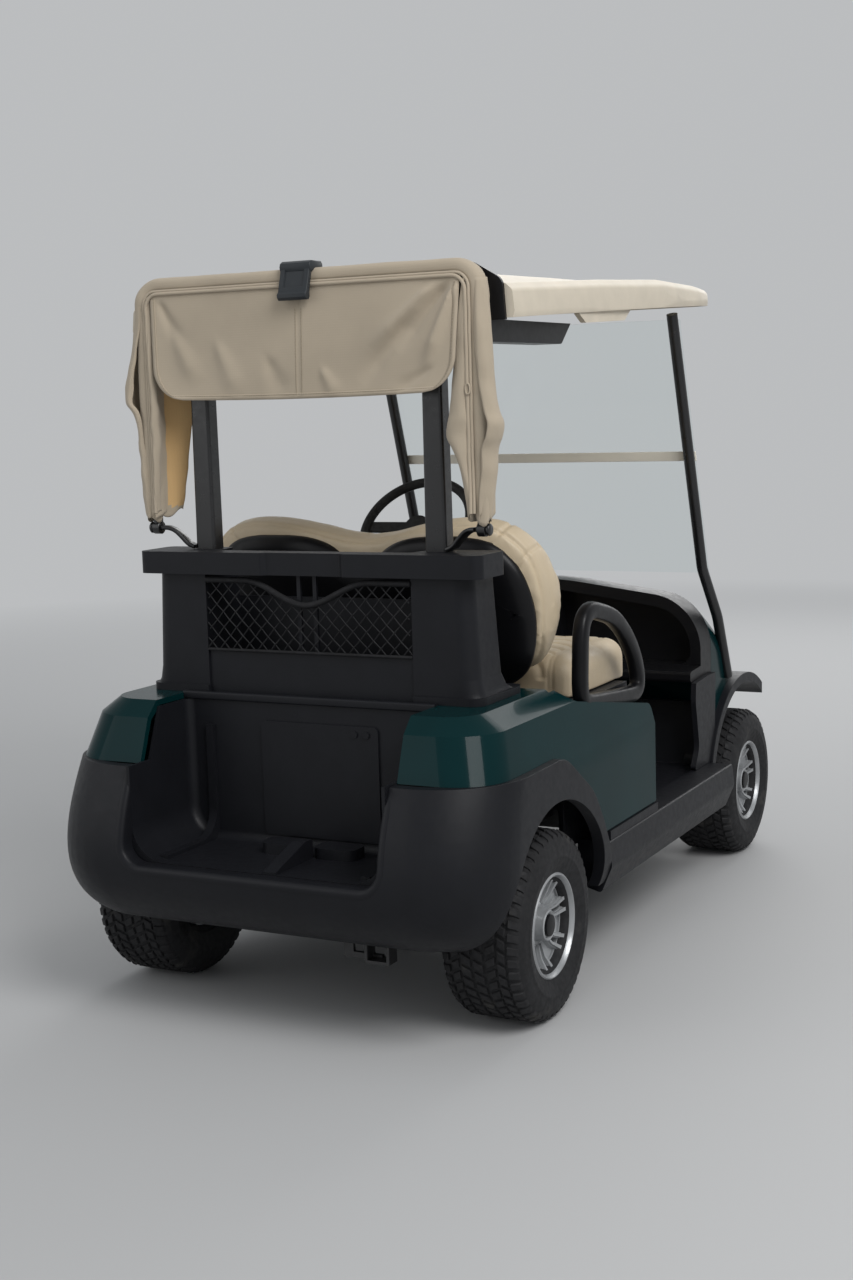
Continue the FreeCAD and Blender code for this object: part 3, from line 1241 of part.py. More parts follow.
def bag_rack():
    """Pillars on flared feet, crossbar and basket tray, moulded together."""
    base = shelf_height + S.fit_gap
    bar_low = rack_top - S.rack_bar

    def pillar_plan(outer, front, rear):
        return ((S.pillar_inner, front), (outer, front, 22.0), (outer, rear, 40.0), (S.pillar_inner, rear))

    pillar = loft("pillar", "XY", (
        (base, pillar_plan(pillar_outer, pillar_front, pillar_rear)),
        (bar_low + 6.0, pillar_plan(pillar_top_outer, pillar_front + 14.0, pillar_rear))), ruled=True)
    spread = pillar_outer + S.foot_spread
    foot = prism("pillar_foot", "XY", (
        (S.pillar_inner, foot_front, 20.0), (spread, foot_front, 30.0), (spread, pillar_rear + 6.0, 34.0),
        (S.pillar_inner, pillar_rear + 6.0)), base, base + S.foot_height)
    spread_rows = (
        # height above the foot, spread sideways, spread forwards
        (0.0, 9.0, 34.0), (10.0, 3.0, 14.0), (S.foot_flare, -2.5, -2.0),
    )
    sections = []
    for rise, sideways, forwards in spread_rows:
        sections.append((base + S.foot_height + rise,
                         pillar_plan(pillar_outer + sideways, pillar_front - forwards, pillar_rear)))
    flare = loft("pillar_flare", "XY", sections, ruled=True)
    narrow, recess = S.pillar_inner - 18.0, S.bar_recess
    front = bar_rear - S.bar_width
    bar = prism("crossbar", "XY", (
        (-rack_half, bar_front, 20.0), (-narrow - 14.0, bar_front, 12.0), (-narrow, front, 12.0),
        (narrow, front, 12.0), (narrow + 14.0, bar_front, 12.0), (rack_half, bar_front, 20.0),
        (rack_half, bar_rear, 26.0), (recess + 12.0, bar_rear, 8.0), (recess, bar_rear - 10.0, 8.0),
        (-recess, bar_rear - 10.0, 8.0), (-recess - 12.0, bar_rear, 8.0), (-rack_half, bar_rear, 26.0)),
        bar_low, rack_top)
    inner = S.pillar_inner + 4.0
    tray_back = box("tray_back", (-inner, inner), (pillar_rear - S.tray_wall - 6.0, pillar_rear - 6.0),
                    (base, tray_top))
    tray_floor = box("tray_floor", (-inner, inner), (pillar_front + 4.0, pillar_rear - 6.0),
                     (base, base + S.tray_wall))
    tray_front = box("tray_front", (-inner, inner), (pillar_front + 4.0, pillar_front + 4.0 + S.tray_wall),
                     (base, net_rim))
    posts = [box(f"tray_post_{number}", (middle - 5.0, middle + 5.0), (pillar_rear - 14.0, pillar_rear - 6.0),
                 (tray_top, bar_low)) for number, middle in enumerate((-22.0, 22.0), start=1)]
    solids = []
    for solid in (pillar, foot, flare):
        solids += [solid, mirror(solid.Name + "_other", solid)]
    return node("bag_rack", fuse("bag_rack", *solids, bar, tray_back, tray_floor, tray_front, *posts))


bag_rack()


def basket_net():
    """The stretched net above the basket's solid wall, as one thin panel with a sagging rim."""
    half = S.pillar_inner - S.fit_gap
    rear = pillar_rear - 5.0
    corners = (
        (-half, tray_top + S.fit_gap), (half, tray_top + S.fit_gap), (half, net_rim_end),
        (half - 90.0, net_rim_end, 90.0), (60.0, net_rim, 120.0), (-60.0, net_rim, 120.0),
        (-half + 90.0, net_rim_end, 90.0), (-half, net_rim_end),
    )
    return node("basket_net", prism("basket_net", "XZ", corners, rear, rear + S.net_thickness))


basket_net()


# Seats: cushions as plain closed solids, the moulded shell and the hip restraints.

seat_profile = (
    (seat_front, deck_top + S.fit_gap, 14.0), (seat_rear, deck_top + S.fit_gap),
    (seat_rear, deck_top + S.seat_height - 12.0, 20.0),
    (seat_front, deck_top + S.seat_height, S.seat_edge),
)
node("seat_bottom", prism("seat_bottom", "YZ", seat_profile, -seat_half, seat_half))


def hump_outline(half, top, dip, low):
    """Front view of a seat back with two humps, all corners well rounded."""
    shoulder, foot, saddle = S.hump_shoulder, S.hump_foot, S.hump_saddle
    side = (
        (half - foot, low, 40.0), (half, low + 90.0, 70.0), (half - 4.0, top - 100.0, 90.0),
        (half - shoulder, top, 110.0), (saddle, top, 90.0),
    )
    other = [(-corner[0], *corner[1:]) for corner in reversed(side)]
    return (*side, (0.0, dip, 120.0), *other)


def sine(angle):
    """Sine of an angle held by the sheet in degrees."""
    return Length(math.sin(math.radians(angle)), f"sin({angle.text} * 1deg)")


def cosine(angle):
    """Cosine of an angle held by the sheet in degrees."""
    return Length(math.cos(math.radians(angle)), f"cos({angle.text} * 1deg)")


def raked(thing):
    """Leans a seat back piece about the seat deck's line."""
    thing.Placement = Placement(Vector(), Rotation(Vector(-1, 0, 0), float(S.back_rake)))
    bind(thing, "Placement.Rotation.Angle", S.back_rake)
    return place(thing, 0.0, back_foot, deck_top)


def seat_back():
    """The back cushion as a plain closed solid: its outline padded backwards, then leaned."""
    body = document.addObject("PartDesign::Body", "seat_back")
    profile = sketch(body, "XZ", hump_outline(back_half, S.back_height, S.back_dip, S.back_low))
    pad = body.newObject("PartDesign::Pad", "seat_back_pad")
    pad.Profile = profile
    pad.Reversed = True
    bind(pad, "Length", S.back_thickness - S.fit_gap)
    bind(profile, "AttachmentOffset.Base.z", -S.fit_gap)
    return node("seat_back", raked(body))


seat_back()
shell_rear = S.back_thickness + S.fit_gap + S.shell_thickness
shell_low = (shell_rear * sine(S.back_rake) + S.fit_gap) / cosine(S.back_rake)


def seat_shell():
    """The moulded shell behind the cushion; its back draws in like a shallow dish."""
    front = S.back_thickness + S.fit_gap
    rows = (
        # depth behind the cushion, inset
        (0.0, S.shell_inset), (S.shell_thickness * 0.5, S.shell_inset + 3.0),
        (S.shell_thickness * 0.85, S.shell_inset + S.shell_slope * 0.5),
        (S.shell_thickness, S.shell_inset + S.shell_slope),
    )
    sections = []
    for depth, inset in rows:
        dip = S.back_dip - inset * 1.5
        outline = hump_outline(back_half - inset, S.back_height - inset, dip, shell_low)
        sections.append((front + depth, outline))
    return node("seat_shell", raked(loft("seat_shell", "XZ", sections, ruled=True)))


seat_shell()


def hip_restraints():
    """A D-shaped grab loop at each end of the seat."""
    slope = (shelf_edge + 8.0 - panel_front_height) / (deck_rear - S.flange_run - panel_front)
    seat_line = panel_front_height + S.fit_gap
    rear_low = seat_line + (loop_rear - panel_front) * slope
    front_low = seat_line + (loop_front - 10.0 - panel_front) * slope
    bar = S.loop_bar
    outer = (
        (loop_front - 10.0, front_low, 18.0), (loop_rear, rear_low, 18.0),
        (loop_rear + 8.0, loop_top - 22.0, 70.0), (loop_rear - 90.0, loop_top + 8.0, 90.0),
        (loop_front + 128.0, loop_top - 69.0, 220.0), (loop_front - 34.0, front_low + 56.0, 60.0),
    )
    inner = (
        (loop_front + 53.0, front_low + bar + 14.0, 20.0),
        (loop_rear - bar - 4.0, rear_low + bar - 3.0, 18.0), (loop_rear - bar, loop_top - 33.0 - bar, 45.0),
        (loop_rear - 54.0 - bar, loop_top - bar - 2.0, 60.0),
        (loop_front + 108.0 + bar, loop_top - 69.0 - bar, 180.0), (loop_front + 24.0, front_low + 66.0, 14.0),
    )
    solid = prism("loop_solid", "YZ", outer, loop_inner, loop_inner + S.loop_width)
    hole = prism("loop_hole", "YZ", inner, loop_inner - 5.0, loop_inner + S.loop_width + 5.0)
    return both("hip_restraints", cut("loop_left", solid, hole))


hip_restraints()


# Canopy and what carries it.

def canopy_section(half, base, rail, crown):
    """Cross-section of the canopy: leaning side, ridge, gutter and crown."""
    gutter = half - S.canopy_gutter
    left = [
        (half - 4.0, base), (half, base + 14.0), (half - 5.0, rail - 8.0, 16.0),
        (half - 26.0, rail + S.canopy_ridge, 14.0), (gutter, rail, 30.0), (gutter - 90.0, crown - 7.0, 200.0),
    ]
    right = [(-corner[0], *corner[1:]) for corner in reversed(left)]
    return (*left, *right)


def canopy_loft(name, inset):
    """The canopy's outer form, or with an inset the air inside it."""
    edge, side = canopy_front_base, canopy_front_base + 50.0
    rise = S.canopy_rise * 0.42
    rows = (
        # station, drawn in sideways, bottom edge, side's top, drop of the crown
        (canopy_front - 20.0, 24.0, edge + 4.0, side - 14.0, S.canopy_nose),
        (canopy_front + 60.0, 10.0, edge + 1.0, side - 10.0, 24.0),
        (canopy_front + 180.0, 2.0, edge - 3.0, side - 4.0, 8.0),
        (canopy_front + 480.0, 0.0, edge - 17.0, side, 0.0),
        (canopy_front + 900.0, 8.0, canopy_rear_base + rise, canopy_rail + rise, 2.0),
        (canopy_rear, S.canopy_taper, canopy_rear_base, canopy_rail, 8.0),
    )
    sections = []
    for station, drawn_in, base, rail, drop in rows:
        section = canopy_section(canopy_half - drawn_in - inset, base - inset, rail - inset,
                                 canopy_crown - drop - inset)
        sections.append((station, section))
    return loft(name, "XZ", sections, ruled=True)


def canopy_outline(name, inset):
    """Plan of the canopy as a prism: rounded front corners over a gently bowed front edge."""
    half = canopy_half + 5.0 - inset
    rear_half = half - S.canopy_taper
    front, rear = canopy_front + inset, canopy_rear - inset / 4
    corner = S.canopy_corner - inset
    corners = ((-half, front + 14.0, corner), (0.0, front - 14.0, 900.0), (half, front + 14.0, corner),
               (rear_half, rear), (-rear_half, rear))
    return prism(name, "XY", corners, canopy_rear_base - 60.0, canopy_crown + 60.0)


def canopy():
    """The moulded top, hollow below, with a handhold under each side."""
    outer = common("canopy_outer", canopy_loft("canopy_form", 0.0), canopy_outline("canopy_plan", 0.0))
    inner = common("canopy_air", canopy_loft("canopy_hollow", S.canopy_shell),
                   canopy_outline("canopy_air_plan", S.canopy_shell))
    rear = canopy_rear - S.handhold_lead
    front = rear - S.handhold_length
    high = canopy_rear_base + S.canopy_rise * 0.6
    low = high - S.handhold_drop
    grip = prism("handhold", "YZ", (
        (front, high), (front + 46.0, low - 8.0, 20.0), (rear - 40.0, low - 20.0, 20.0), (rear, high - 22.0),
        (rear, high + 14.0), (front, high + 24.0)),
        canopy_half - S.handhold_inset, canopy_half - S.handhold_inset + S.handhold_width)
    shell = cut("canopy_shell", outer, inner)
    return node("canopy", fuse("canopy", shell, grip, mirror("handhold_other", grip)))


canopy()


def canopy_holder():
    """Side channels on the rear struts and the dark cap behind the canopy."""
    inner = holder_half - S.holder_width
    top = canopy_rear_base - S.fit_gap
    corners = (
        (holder_front + 60.0, holder_base, 20.0), (canopy_rear + S.cap_thickness, holder_base),
        (canopy_rear + S.cap_thickness, top), (holder_front, top),
    )
    channel = prism("holder_channel", "YZ", corners, inner, holder_half)
    bridge = box("holder_bridge", (-inner - 5.0, inner + 5.0),
                 (rear_strut_front - 30.0, canopy_rear + S.cap_thickness), (holder_base, top))
    cap = prism("canopy_cap", "XZ", (
        (-cap_half, top - 4.0), (cap_half, top - 4.0), (cap_half - 6.0, canopy_rail + 16.0, 30.0),
        (cap_half - 80.0, canopy_crown + 2.0, 40.0), (-cap_half + 80.0, canopy_crown + 2.0, 40.0),
        (-cap_half + 6.0, canopy_rail + 16.0, 30.0)),
        canopy_rear + S.fit_gap, canopy_rear + S.cap_thickness)
    other = mirror("channel_other", channel)
    return node("canopy_holder", fuse("canopy_holder", channel, other, bridge, cap))


canopy_holder()


def rear_struts():
    """The two flat posts between the bag rack and the canopy holder."""
    low, high = rack_top + S.fit_gap, holder_base - S.fit_gap
    wide, narrow = float(S.rear_strut_width) / 2, float(S.rear_strut_width) / 2 - 3.0
    middle, front, depth = float(rear_strut_offset), float(rear_strut_front), float(S.rear_strut_depth)

    def section(half):
        return ((middle - half, front, 8.0), (middle + half, front, 8.0), (middle + half, front + depth, 8.0),
                (middle - half, front + depth, 8.0))

    return both("rear_struts", loft("rear_strut_left", "XY", ((low, section(wide)), (high, section(narrow))),
                                    ruled=True))


rear_struts()


def front_struts():
    """The bent tubes from the cowl's sides up to the canopy."""
    x = front_strut_offset
    foot_x = cowl_half + 2.0
    points = (
        (foot_x, strut_foot_y, strut_foot_z), (foot_x, strut_knee_y - 30.0, strut_knee_z - 90.0, 120.0),
        (x, strut_knee_y + 16.0, strut_knee_z + 60.0, 120.0), (x, strut_top_y, strut_top_z),
    )
    left = tube_path("strut_groove", points, S.front_strut_radius + S.fit_gap)
    both("front_struts", tube_path("front_strut_left", points, S.front_strut_radius))
    return fuse("strut_grooves", left, mirror("strut_groove_other", left))


strut_grooves = front_struts()


def windshield():
    """Two flat clear panes in front of the struts, and the strip they fold at."""
    lean = math.atan2(float(strut_top_y - strut_knee_y), float(strut_top_z - strut_knee_z))
    ahead = (float(S.front_strut_radius) + float(S.glass_gap)) / math.cos(lean)

    def pane(name, low, high, half, front, thickness):
        """A leaning plate between two heights."""
        def y_at(z):
            return float(strut_knee_y) + (float(z) - float(strut_knee_z)) * math.tan(lean) - ahead - front
        y_low, y_high = y_at(low), y_at(high)
        corners = ((y_low - thickness, float(low)), (y_low, float(low)), (y_high, float(high)),
                   (y_high - thickness, float(high)))
        return loft(name, "YZ", ((-float(half), corners), (float(half), corners)), ruled=True)

    thick = float(S.glass_thickness)
    gap = S.fit_gap
    lower = pane("pane_lower", glass_low, glass_fold - gap, glass_half, 0.0, thick)
    upper = pane("pane_upper", glass_fold + S.glass_strip + gap, glass_top, glass_half, 0.0, thick)
    node("windshield", fuse("windshield", lower, upper))
    strip = pane("windshield_strip", glass_fold, glass_fold + S.glass_strip, glass_half, 0.0, thick + 4.0)
    return node("windshield_strip", strip)


windshield()


# Front end: cowl, bumper with wheel flares, dash, steering and pedals.

def cowl_section(half, base, shoulder, crown, corner):
    """Cross-section of the cowl: straight sides, round shoulders, a low crown."""
    return (
        (-half, base), (half, base), (half, shoulder, corner), (0.0, crown, 900.0), (-half, shoulder, corner),
    )


def cowl():
    """The coloured front body, hollow and open at the back and below."""
    rows = (
        # station, half width, shoulder, crown, shoulder rounding
        (cowl_rear, cowl_half, cowl_shoulder, cowl_crown, 165.0),
        (cowl_rear - 210.0, cowl_half - 8.0, cowl_shoulder - 132.0, cowl_crown - 100.0, 150.0),
        (cowl_rear - 385.0, cowl_half - 60.0, cowl_shoulder - 250.0, cowl_crown - 225.0, 125.0),
        (-half_length + 30.0, cowl_half - 165.0, cowl_shoulder - 350.0, cowl_crown - 370.0, 50.0),
    )
    wall = S.cowl_wall
    outer = loft("cowl_outer", "XZ", [(y, cowl_section(half, cowl_base, shoulder, crown, corner))
                                      for y, half, shoulder, crown, corner in rows])
    deeper = [(y, cowl_section(half - wall, cowl_base - 20.0, shoulder - wall, crown - wall, corner - wall))
              for y, half, shoulder, crown, corner in rows]
    first_y, last_y = deeper[0][0] + 2.0, deeper[-1][0] + wall
    deeper[0] = (first_y, deeper[0][1])
    deeper[-1] = (last_y, deeper[-1][1])
    inner = loft("cowl_inner", "XZ", deeper)
    return node("front_cowl", cut("front_cowl", outer, inner, wheel_space, strut_grooves, flare_room))


cowl()


def front_bumper():
    """The dark lower nose and the flares over the front wheels."""
    base, top = nose_bottom, cowl_base - S.fit_gap
    back = rail_front - 5.0
    low, high = -half_length + 50.0, -half_length

    def nose_plan(half, front, corner):
        return ((-half, front, corner), (half, front, corner), (half - 7.0, back), (-half + 7.0, back))

    foot, brow = nose_plan(S.nose_bottom_half, low, 25.0), nose_plan(S.nose_top_half, high, 60.0)
    nose = loft("nose", "XY", ((base, foot), (top, brow)), ruled=True)
    nose = cut("nose_cleared", nose, wheel_space)
    hole = cylinder("flare_hole", "x", (0.0, front_axle, axle_height), front_arch_radius + 1.0, half_width)
    left = cut("flare_left", front_flare("flare_blank", 0.0), hole, strut_grooves)
    return node("front_bumper", fuse("front_bumper", nose, left, mirror("flare_right", left)))


front_bumper()


def column_cylinder(name, radius, start, length):
    """A cylinder on the steering column's axis, measured down from the wheel's middle."""
    tilt = math.radians(float(S.column_tilt))
    down = Vector(0, -math.cos(tilt), -math.sin(tilt))
    centre = Vector(float(S.wheel_offset), float(wheel_y), float(wheel_z))
    return feature(name, Part.makeCylinder(float(radius), float(length), centre + down * float(start), down))


def dash():
    """An arched moulding with two open pockets and a shelf, standing between cowl and cabin."""
    rear = dash_rear
    front = cowl_rear + S.fit_gap
    half = cowl_half - S.fit_gap
    arch = ((-half, dash_bottom), (half, dash_bottom), (half, cowl_shoulder, 165.0),
            (0.0, cowl_crown, 900.0), (-half, cowl_shoulder, 165.0))
    solid = prism("dash_solid", "XZ", arch, front, rear)
    rim = S.dash_rim
    pocket = ((40.0, dash_bottom + rim), (half - rim, dash_bottom + rim, 40.0),
              (half - rim, cowl_shoulder - rim, 130.0), (40.0, cowl_crown - rim - 8.0))
    left = prism("dash_pocket", "XZ", pocket, front + S.dash_back, rear + 5.0)
    hollow = cut("dash_hollow", solid, left, mirror("dash_pocket_other", left))
    shelf = prism("dash_shelf", "YZ", (
        (rear - 10.0, dash_bottom), (dash_lip, dash_bottom - 6.0, 10.0), (dash_lip, dash_bottom + 26.0, 10.0),
        (rear - 10.0, dash_bottom + rim)), -half, half)
    shroud = box("dash_shroud", (S.wheel_offset - S.shroud_half, S.wheel_offset + S.shroud_half),
                 (front + 5.0, rear + 20.0), (dash_bottom + 10.0, dash_bottom + 210.0))
    bore = column_cylinder("dash_bore", S.column_radius + S.fit_gap, 100.0, S.column_length)
    return node("dash", cut("dash", fuse("dash_body", hollow, shelf, shroud), bore, strut_grooves))


def kick_panels():
    """The dark panel between the doorway and the front wheel, on each side."""
    top = dash_bottom - S.fit_gap
    corners = (
        (floor_front - 40.0, step_top + S.fit_gap), (floor_front + 150.0, step_top + S.fit_gap, 10.0),
        (floor_front + 100.0, step_top + 60.0, 60.0), (dash_lip - 4.0, top - 60.0, 60.0),
        (dash_lip - 10.0, top - 7.0), (dash_rear - 14.0, top), (cowl_rear + S.fit_gap, top),
    )
    panel = prism("kick_panel", "YZ", corners, floor_half + S.fit_gap, kick_outer)
    return both("kick_panels", cut("kick_left", panel, wheel_space, strut_grooves, flare_room))


dash()
kick_panels()


def tilted(thing, distance):
    """Turns a piece built along +Z onto the steering column's axis, some way up or down it."""
    tilt = math.radians(float(S.column_tilt))
    along = Vector(0, math.cos(tilt), math.sin(tilt))
    centre = Vector(float(S.wheel_offset), float(wheel_y), float(wheel_z))
    thing.Placement = Placement(centre + along * distance, Rotation(Vector(0, 0, 1), along))
    return thing


def steering():
    """Wheel with three spokes and a hub, and the fixed column tube below it."""
    ring = document.addObject("Part::Torus", "wheel_ring")
    bind(ring, "Radius1", S.wheel_radius)
    bind(ring, "Radius2", S.wheel_grip)
    depth = float(S.wheel_hub_depth)
    hub = feature("wheel_hub", Part.makeCylinder(float(S.wheel_hub_radius), depth, Vector(0, 0, 6.0 - depth)))
    reach, width, thickness = float(S.wheel_radius), float(S.spoke_width), float(S.spoke_thickness)
    spokes = []
    for number, angle in enumerate((0.0, 180.0, 90.0), start=1):
        spoke = Part.makeBox(reach - 8.0, width, thickness, Vector(4.0, -width / 2, -thickness))
        spoke.rotate(Vector(), Vector(0, 0, 1), angle)
        spokes.append(feature(f"wheel_spoke_{number}", spoke))
    shaft = feature("wheel_shaft", Part.makeCylinder(float(S.shaft_radius), 62.0, Vector(0, 0, -90.0)))
    wheel = node("steering_wheel", fuse("steering_wheel", ring, hub, *spokes, shaft))
    tilted(wheel, 0.0)
    tube = column_cylinder("column_tube", S.column_radius, 42.0, S.column_length)
    bore = column_cylinder("column_bore", S.shaft_radius + S.running_gap, 30.0, 64.0)
    return node("steering_column", cut("steering_column", tube, bore))


steering()


def pedals():
    """Brake and accelerator pads on their arms; they stay still."""
    pieces = []
    low = floor_top + S.pedal_lift
    high = low + S.pedal_height
    front = floor_front + 40.0
    for label, middle, width in (("brake", S.brake_x, S.brake_width), ("drive", S.drive_x, S.drive_width)):
        half = width / 2
        pad = prism(f"pad_{label}", "XZ", ((-half, low, 8.0), (half, low, 8.0), (half, high, 8.0),
                                           (-half, high, 8.0)), front, front + 12.0)
        bind(pad, "Placement.Base.x", middle)
        arm = box(f"pedal_arm_{label}", (middle - 10.0, middle + 10.0), (front - 6.0, front + 6.0),
                  (floor_top + S.fit_gap, high - 20.0))
        pieces += [pad, arm]
    return node("pedals", fuse("pedals", *pieces))


pedals()


# Bag cover: brackets on the rack, the folding bow, the flap and the side curtains.

def cover_brackets():
    """The arms that carry the cover's pivots outside the rack."""
    inner = pivot_half - 26.0
    low = rack_top + S.fit_gap
    foot = box("bracket_foot", (rear_strut_offset + 40.0, rack_half), (bar_front + 10.0, bar_front + 50.0),
               (low, low + 12.0))
    ear = box("bracket_ear", (pivot_half + 4.0, pivot_half + 16.0), (bar_front + 10.0, pivot_y + 18.0),
              (low, pivot_z + 18.0))
    base = box("bracket_base", (inner, pivot_half + 16.0), (bar_front + 10.0, bar_front + 50.0),
               (low, low + 12.0))
    pin = cylinder("bracket_pin", "x", (inner - 4.0, pivot_y, pivot_z), S.pivot_radius, 34.0 + S.fit_gap)
    return both("cover_brackets", fuse("bracket_left", foot, base, ear, pin))


cover_brackets()


def cover_bow():
    """The inverted U of tube that the cover hangs on, with its clasp."""
    half, y = bow_half, pivot_y
    points = (
        (half, y, pivot_z), (half, y, bow_top, S.bow_corner), (-half, y, bow_top, S.bow_corner),
        (-half, y, pivot_z),
    )
    tube = tube_path("bow_tube", points, S.bow_tube)
    eye_radius = S.pivot_radius + 9.0
    eyes = [cylinder(f"bow_eye_{SIDE_NAMES[side]}", "x", (side * half - 10.0, y, pivot_z), eye_radius, 20.0)
            for side in (LEFT, RIGHT)]
    clasp = prism("bow_clasp", "YZ", (
        (y - 19.0, bow_top - 20.0, 6.0), (y + 46.0, bow_top - 44.0, 6.0), (y + 46.0, latch_top - 34.0, 10.0),
        (y + 20.0, latch_top, 14.0), (y - 19.0, latch_top, 10.0)), -S.latch_width / 2, S.latch_width / 2)
    bores = [cylinder(f"bow_bore_{SIDE_NAMES[side]}", "x", (side * half - 20.0, y, pivot_z),
                      S.pivot_radius + S.running_gap, 40.0) for side in (LEFT, RIGHT)]
    return node("cover_bow", cut("cover_bow", fuse("bow_solid", tube, *eyes, clasp), *bores))


cover_bow()

flap_top = bow_top - 16.0
flap_corners = (
    (-flap_half, flap_top), (-flap_half + 24.0, flap_bottom, S.flap_corner),
    (flap_half - 24.0, flap_bottom, S.flap_corner), (flap_half, flap_top),
)
flap_blank = prism("flap_blank", "XZ", flap_corners, flap_front, flap_front + S.flap_thickness)
clasp_room = box("clasp_room", (-S.latch_width / 2 - S.fit_gap, S.latch_width / 2 + S.fit_gap),
                 (flap_front - 5.0, flap_front + S.flap_thickness + 5.0),
                 (bow_top - 44.0 - S.fit_gap, bow_top))
node("cover_flap", cut("cover_flap", flap_blank, clasp_room))


def cover_curtains():
    """The gathered fabric hanging at each side of the bow, with room for the tube."""
    corners = (
        (curtain_front, curtain_bottom, 8.0), (pivot_y + 18.0, curtain_bottom, 8.0),
        (curtain_rear, curtain_bottom + S.curtain_taper, 80.0), (curtain_rear, bow_top - 30.0, 20.0),
        (curtain_front, bow_top - 30.0, 20.0),
    )
    panel = prism("curtain_panel", "YZ", corners, curtain_inner, curtain_outer)
    room = box("curtain_room", (curtain_inner - 5.0, bow_half + S.bow_tube + S.fit_gap),
               (pivot_y - S.bow_tube - S.fit_gap, curtain_rear + 20.0), (curtain_bottom - 10.0, bow_top))
    return both("cover_curtains", cut("curtain_left", panel, room))


cover_curtains()


def failures():
    """Names every object that did not recompute, and every node without sound solids."""
    found = []
    for thing in document.Objects:
        if "Invalid" in thing.State or "Error" in thing.State:
            found.append(f"{thing.Label}: {thing.State}")
    for name, thing in nodes.items():
        shape = thing.Shape
        if shape.isNull() or not shape.isValid() or not shape.Solids:
            found.append(f"{name}: no sound solid")
    return found


document.recompute()
problems = failures()
if problems:
    raise SystemExit("; ".join(problems))

os.makedirs("parts", exist_ok=True)
for name, thing in nodes.items():
    thing.Shape.exportStep(os.path.join("parts", name + ".step"))
print(len(nodes), "nodes written")
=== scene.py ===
import json
import logging
import math
from dataclasses import dataclass, field
from enum import Enum
from typing import Callable, Iterable, Sequence

import bmesh
import bpy
from mathutils import Matrix, Vector, noise


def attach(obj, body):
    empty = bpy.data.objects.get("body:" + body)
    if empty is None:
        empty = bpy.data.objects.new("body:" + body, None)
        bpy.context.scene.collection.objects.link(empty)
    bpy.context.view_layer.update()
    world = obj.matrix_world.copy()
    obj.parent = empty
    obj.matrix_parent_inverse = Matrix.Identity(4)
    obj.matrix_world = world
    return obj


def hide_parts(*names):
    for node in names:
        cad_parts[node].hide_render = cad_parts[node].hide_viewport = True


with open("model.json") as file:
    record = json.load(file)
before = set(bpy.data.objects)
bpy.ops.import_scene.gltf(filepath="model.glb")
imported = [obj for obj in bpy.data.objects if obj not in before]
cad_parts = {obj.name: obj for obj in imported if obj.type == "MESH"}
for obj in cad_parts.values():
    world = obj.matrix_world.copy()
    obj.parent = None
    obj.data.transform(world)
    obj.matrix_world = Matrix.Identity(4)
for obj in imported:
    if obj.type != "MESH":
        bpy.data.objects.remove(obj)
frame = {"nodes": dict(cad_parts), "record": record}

# Looks of a two-seat golf cart: bag well, bag rack with its net, folding bag cover, moulded canopy.
# Lengths are in metres in the part's frame: +Z up, the nose along -Y, +X the cart's left side.

log = logging.getLogger("golf_cart")
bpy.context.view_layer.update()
# noise_vector shifts its noise by a seed that comes from the clock unless it is set.
WRINKLE_SEED = 1

Colour = tuple[float, float, float]
Point = tuple[float, float, float]
Socket = bpy.types.NodeSocket
Element = bmesh.types.BMVert | bmesh.types.BMEdge | bmesh.types.BMFace


class Side(Enum):
    """The two sides of the cart, by the sign of X."""

    LEFT = 1
    RIGHT = -1

    @property
    def word(self) -> str:
        """The side's name as it stands in node names."""
        return self.name.lower()


class Grain(Enum):
    """How a moulded plastic's surface is textured: scale per metre and height in metres."""

    FINE = (1400.0, 0.00012)
    SMOOTH = (90.0, 0.00005)


# Materials.


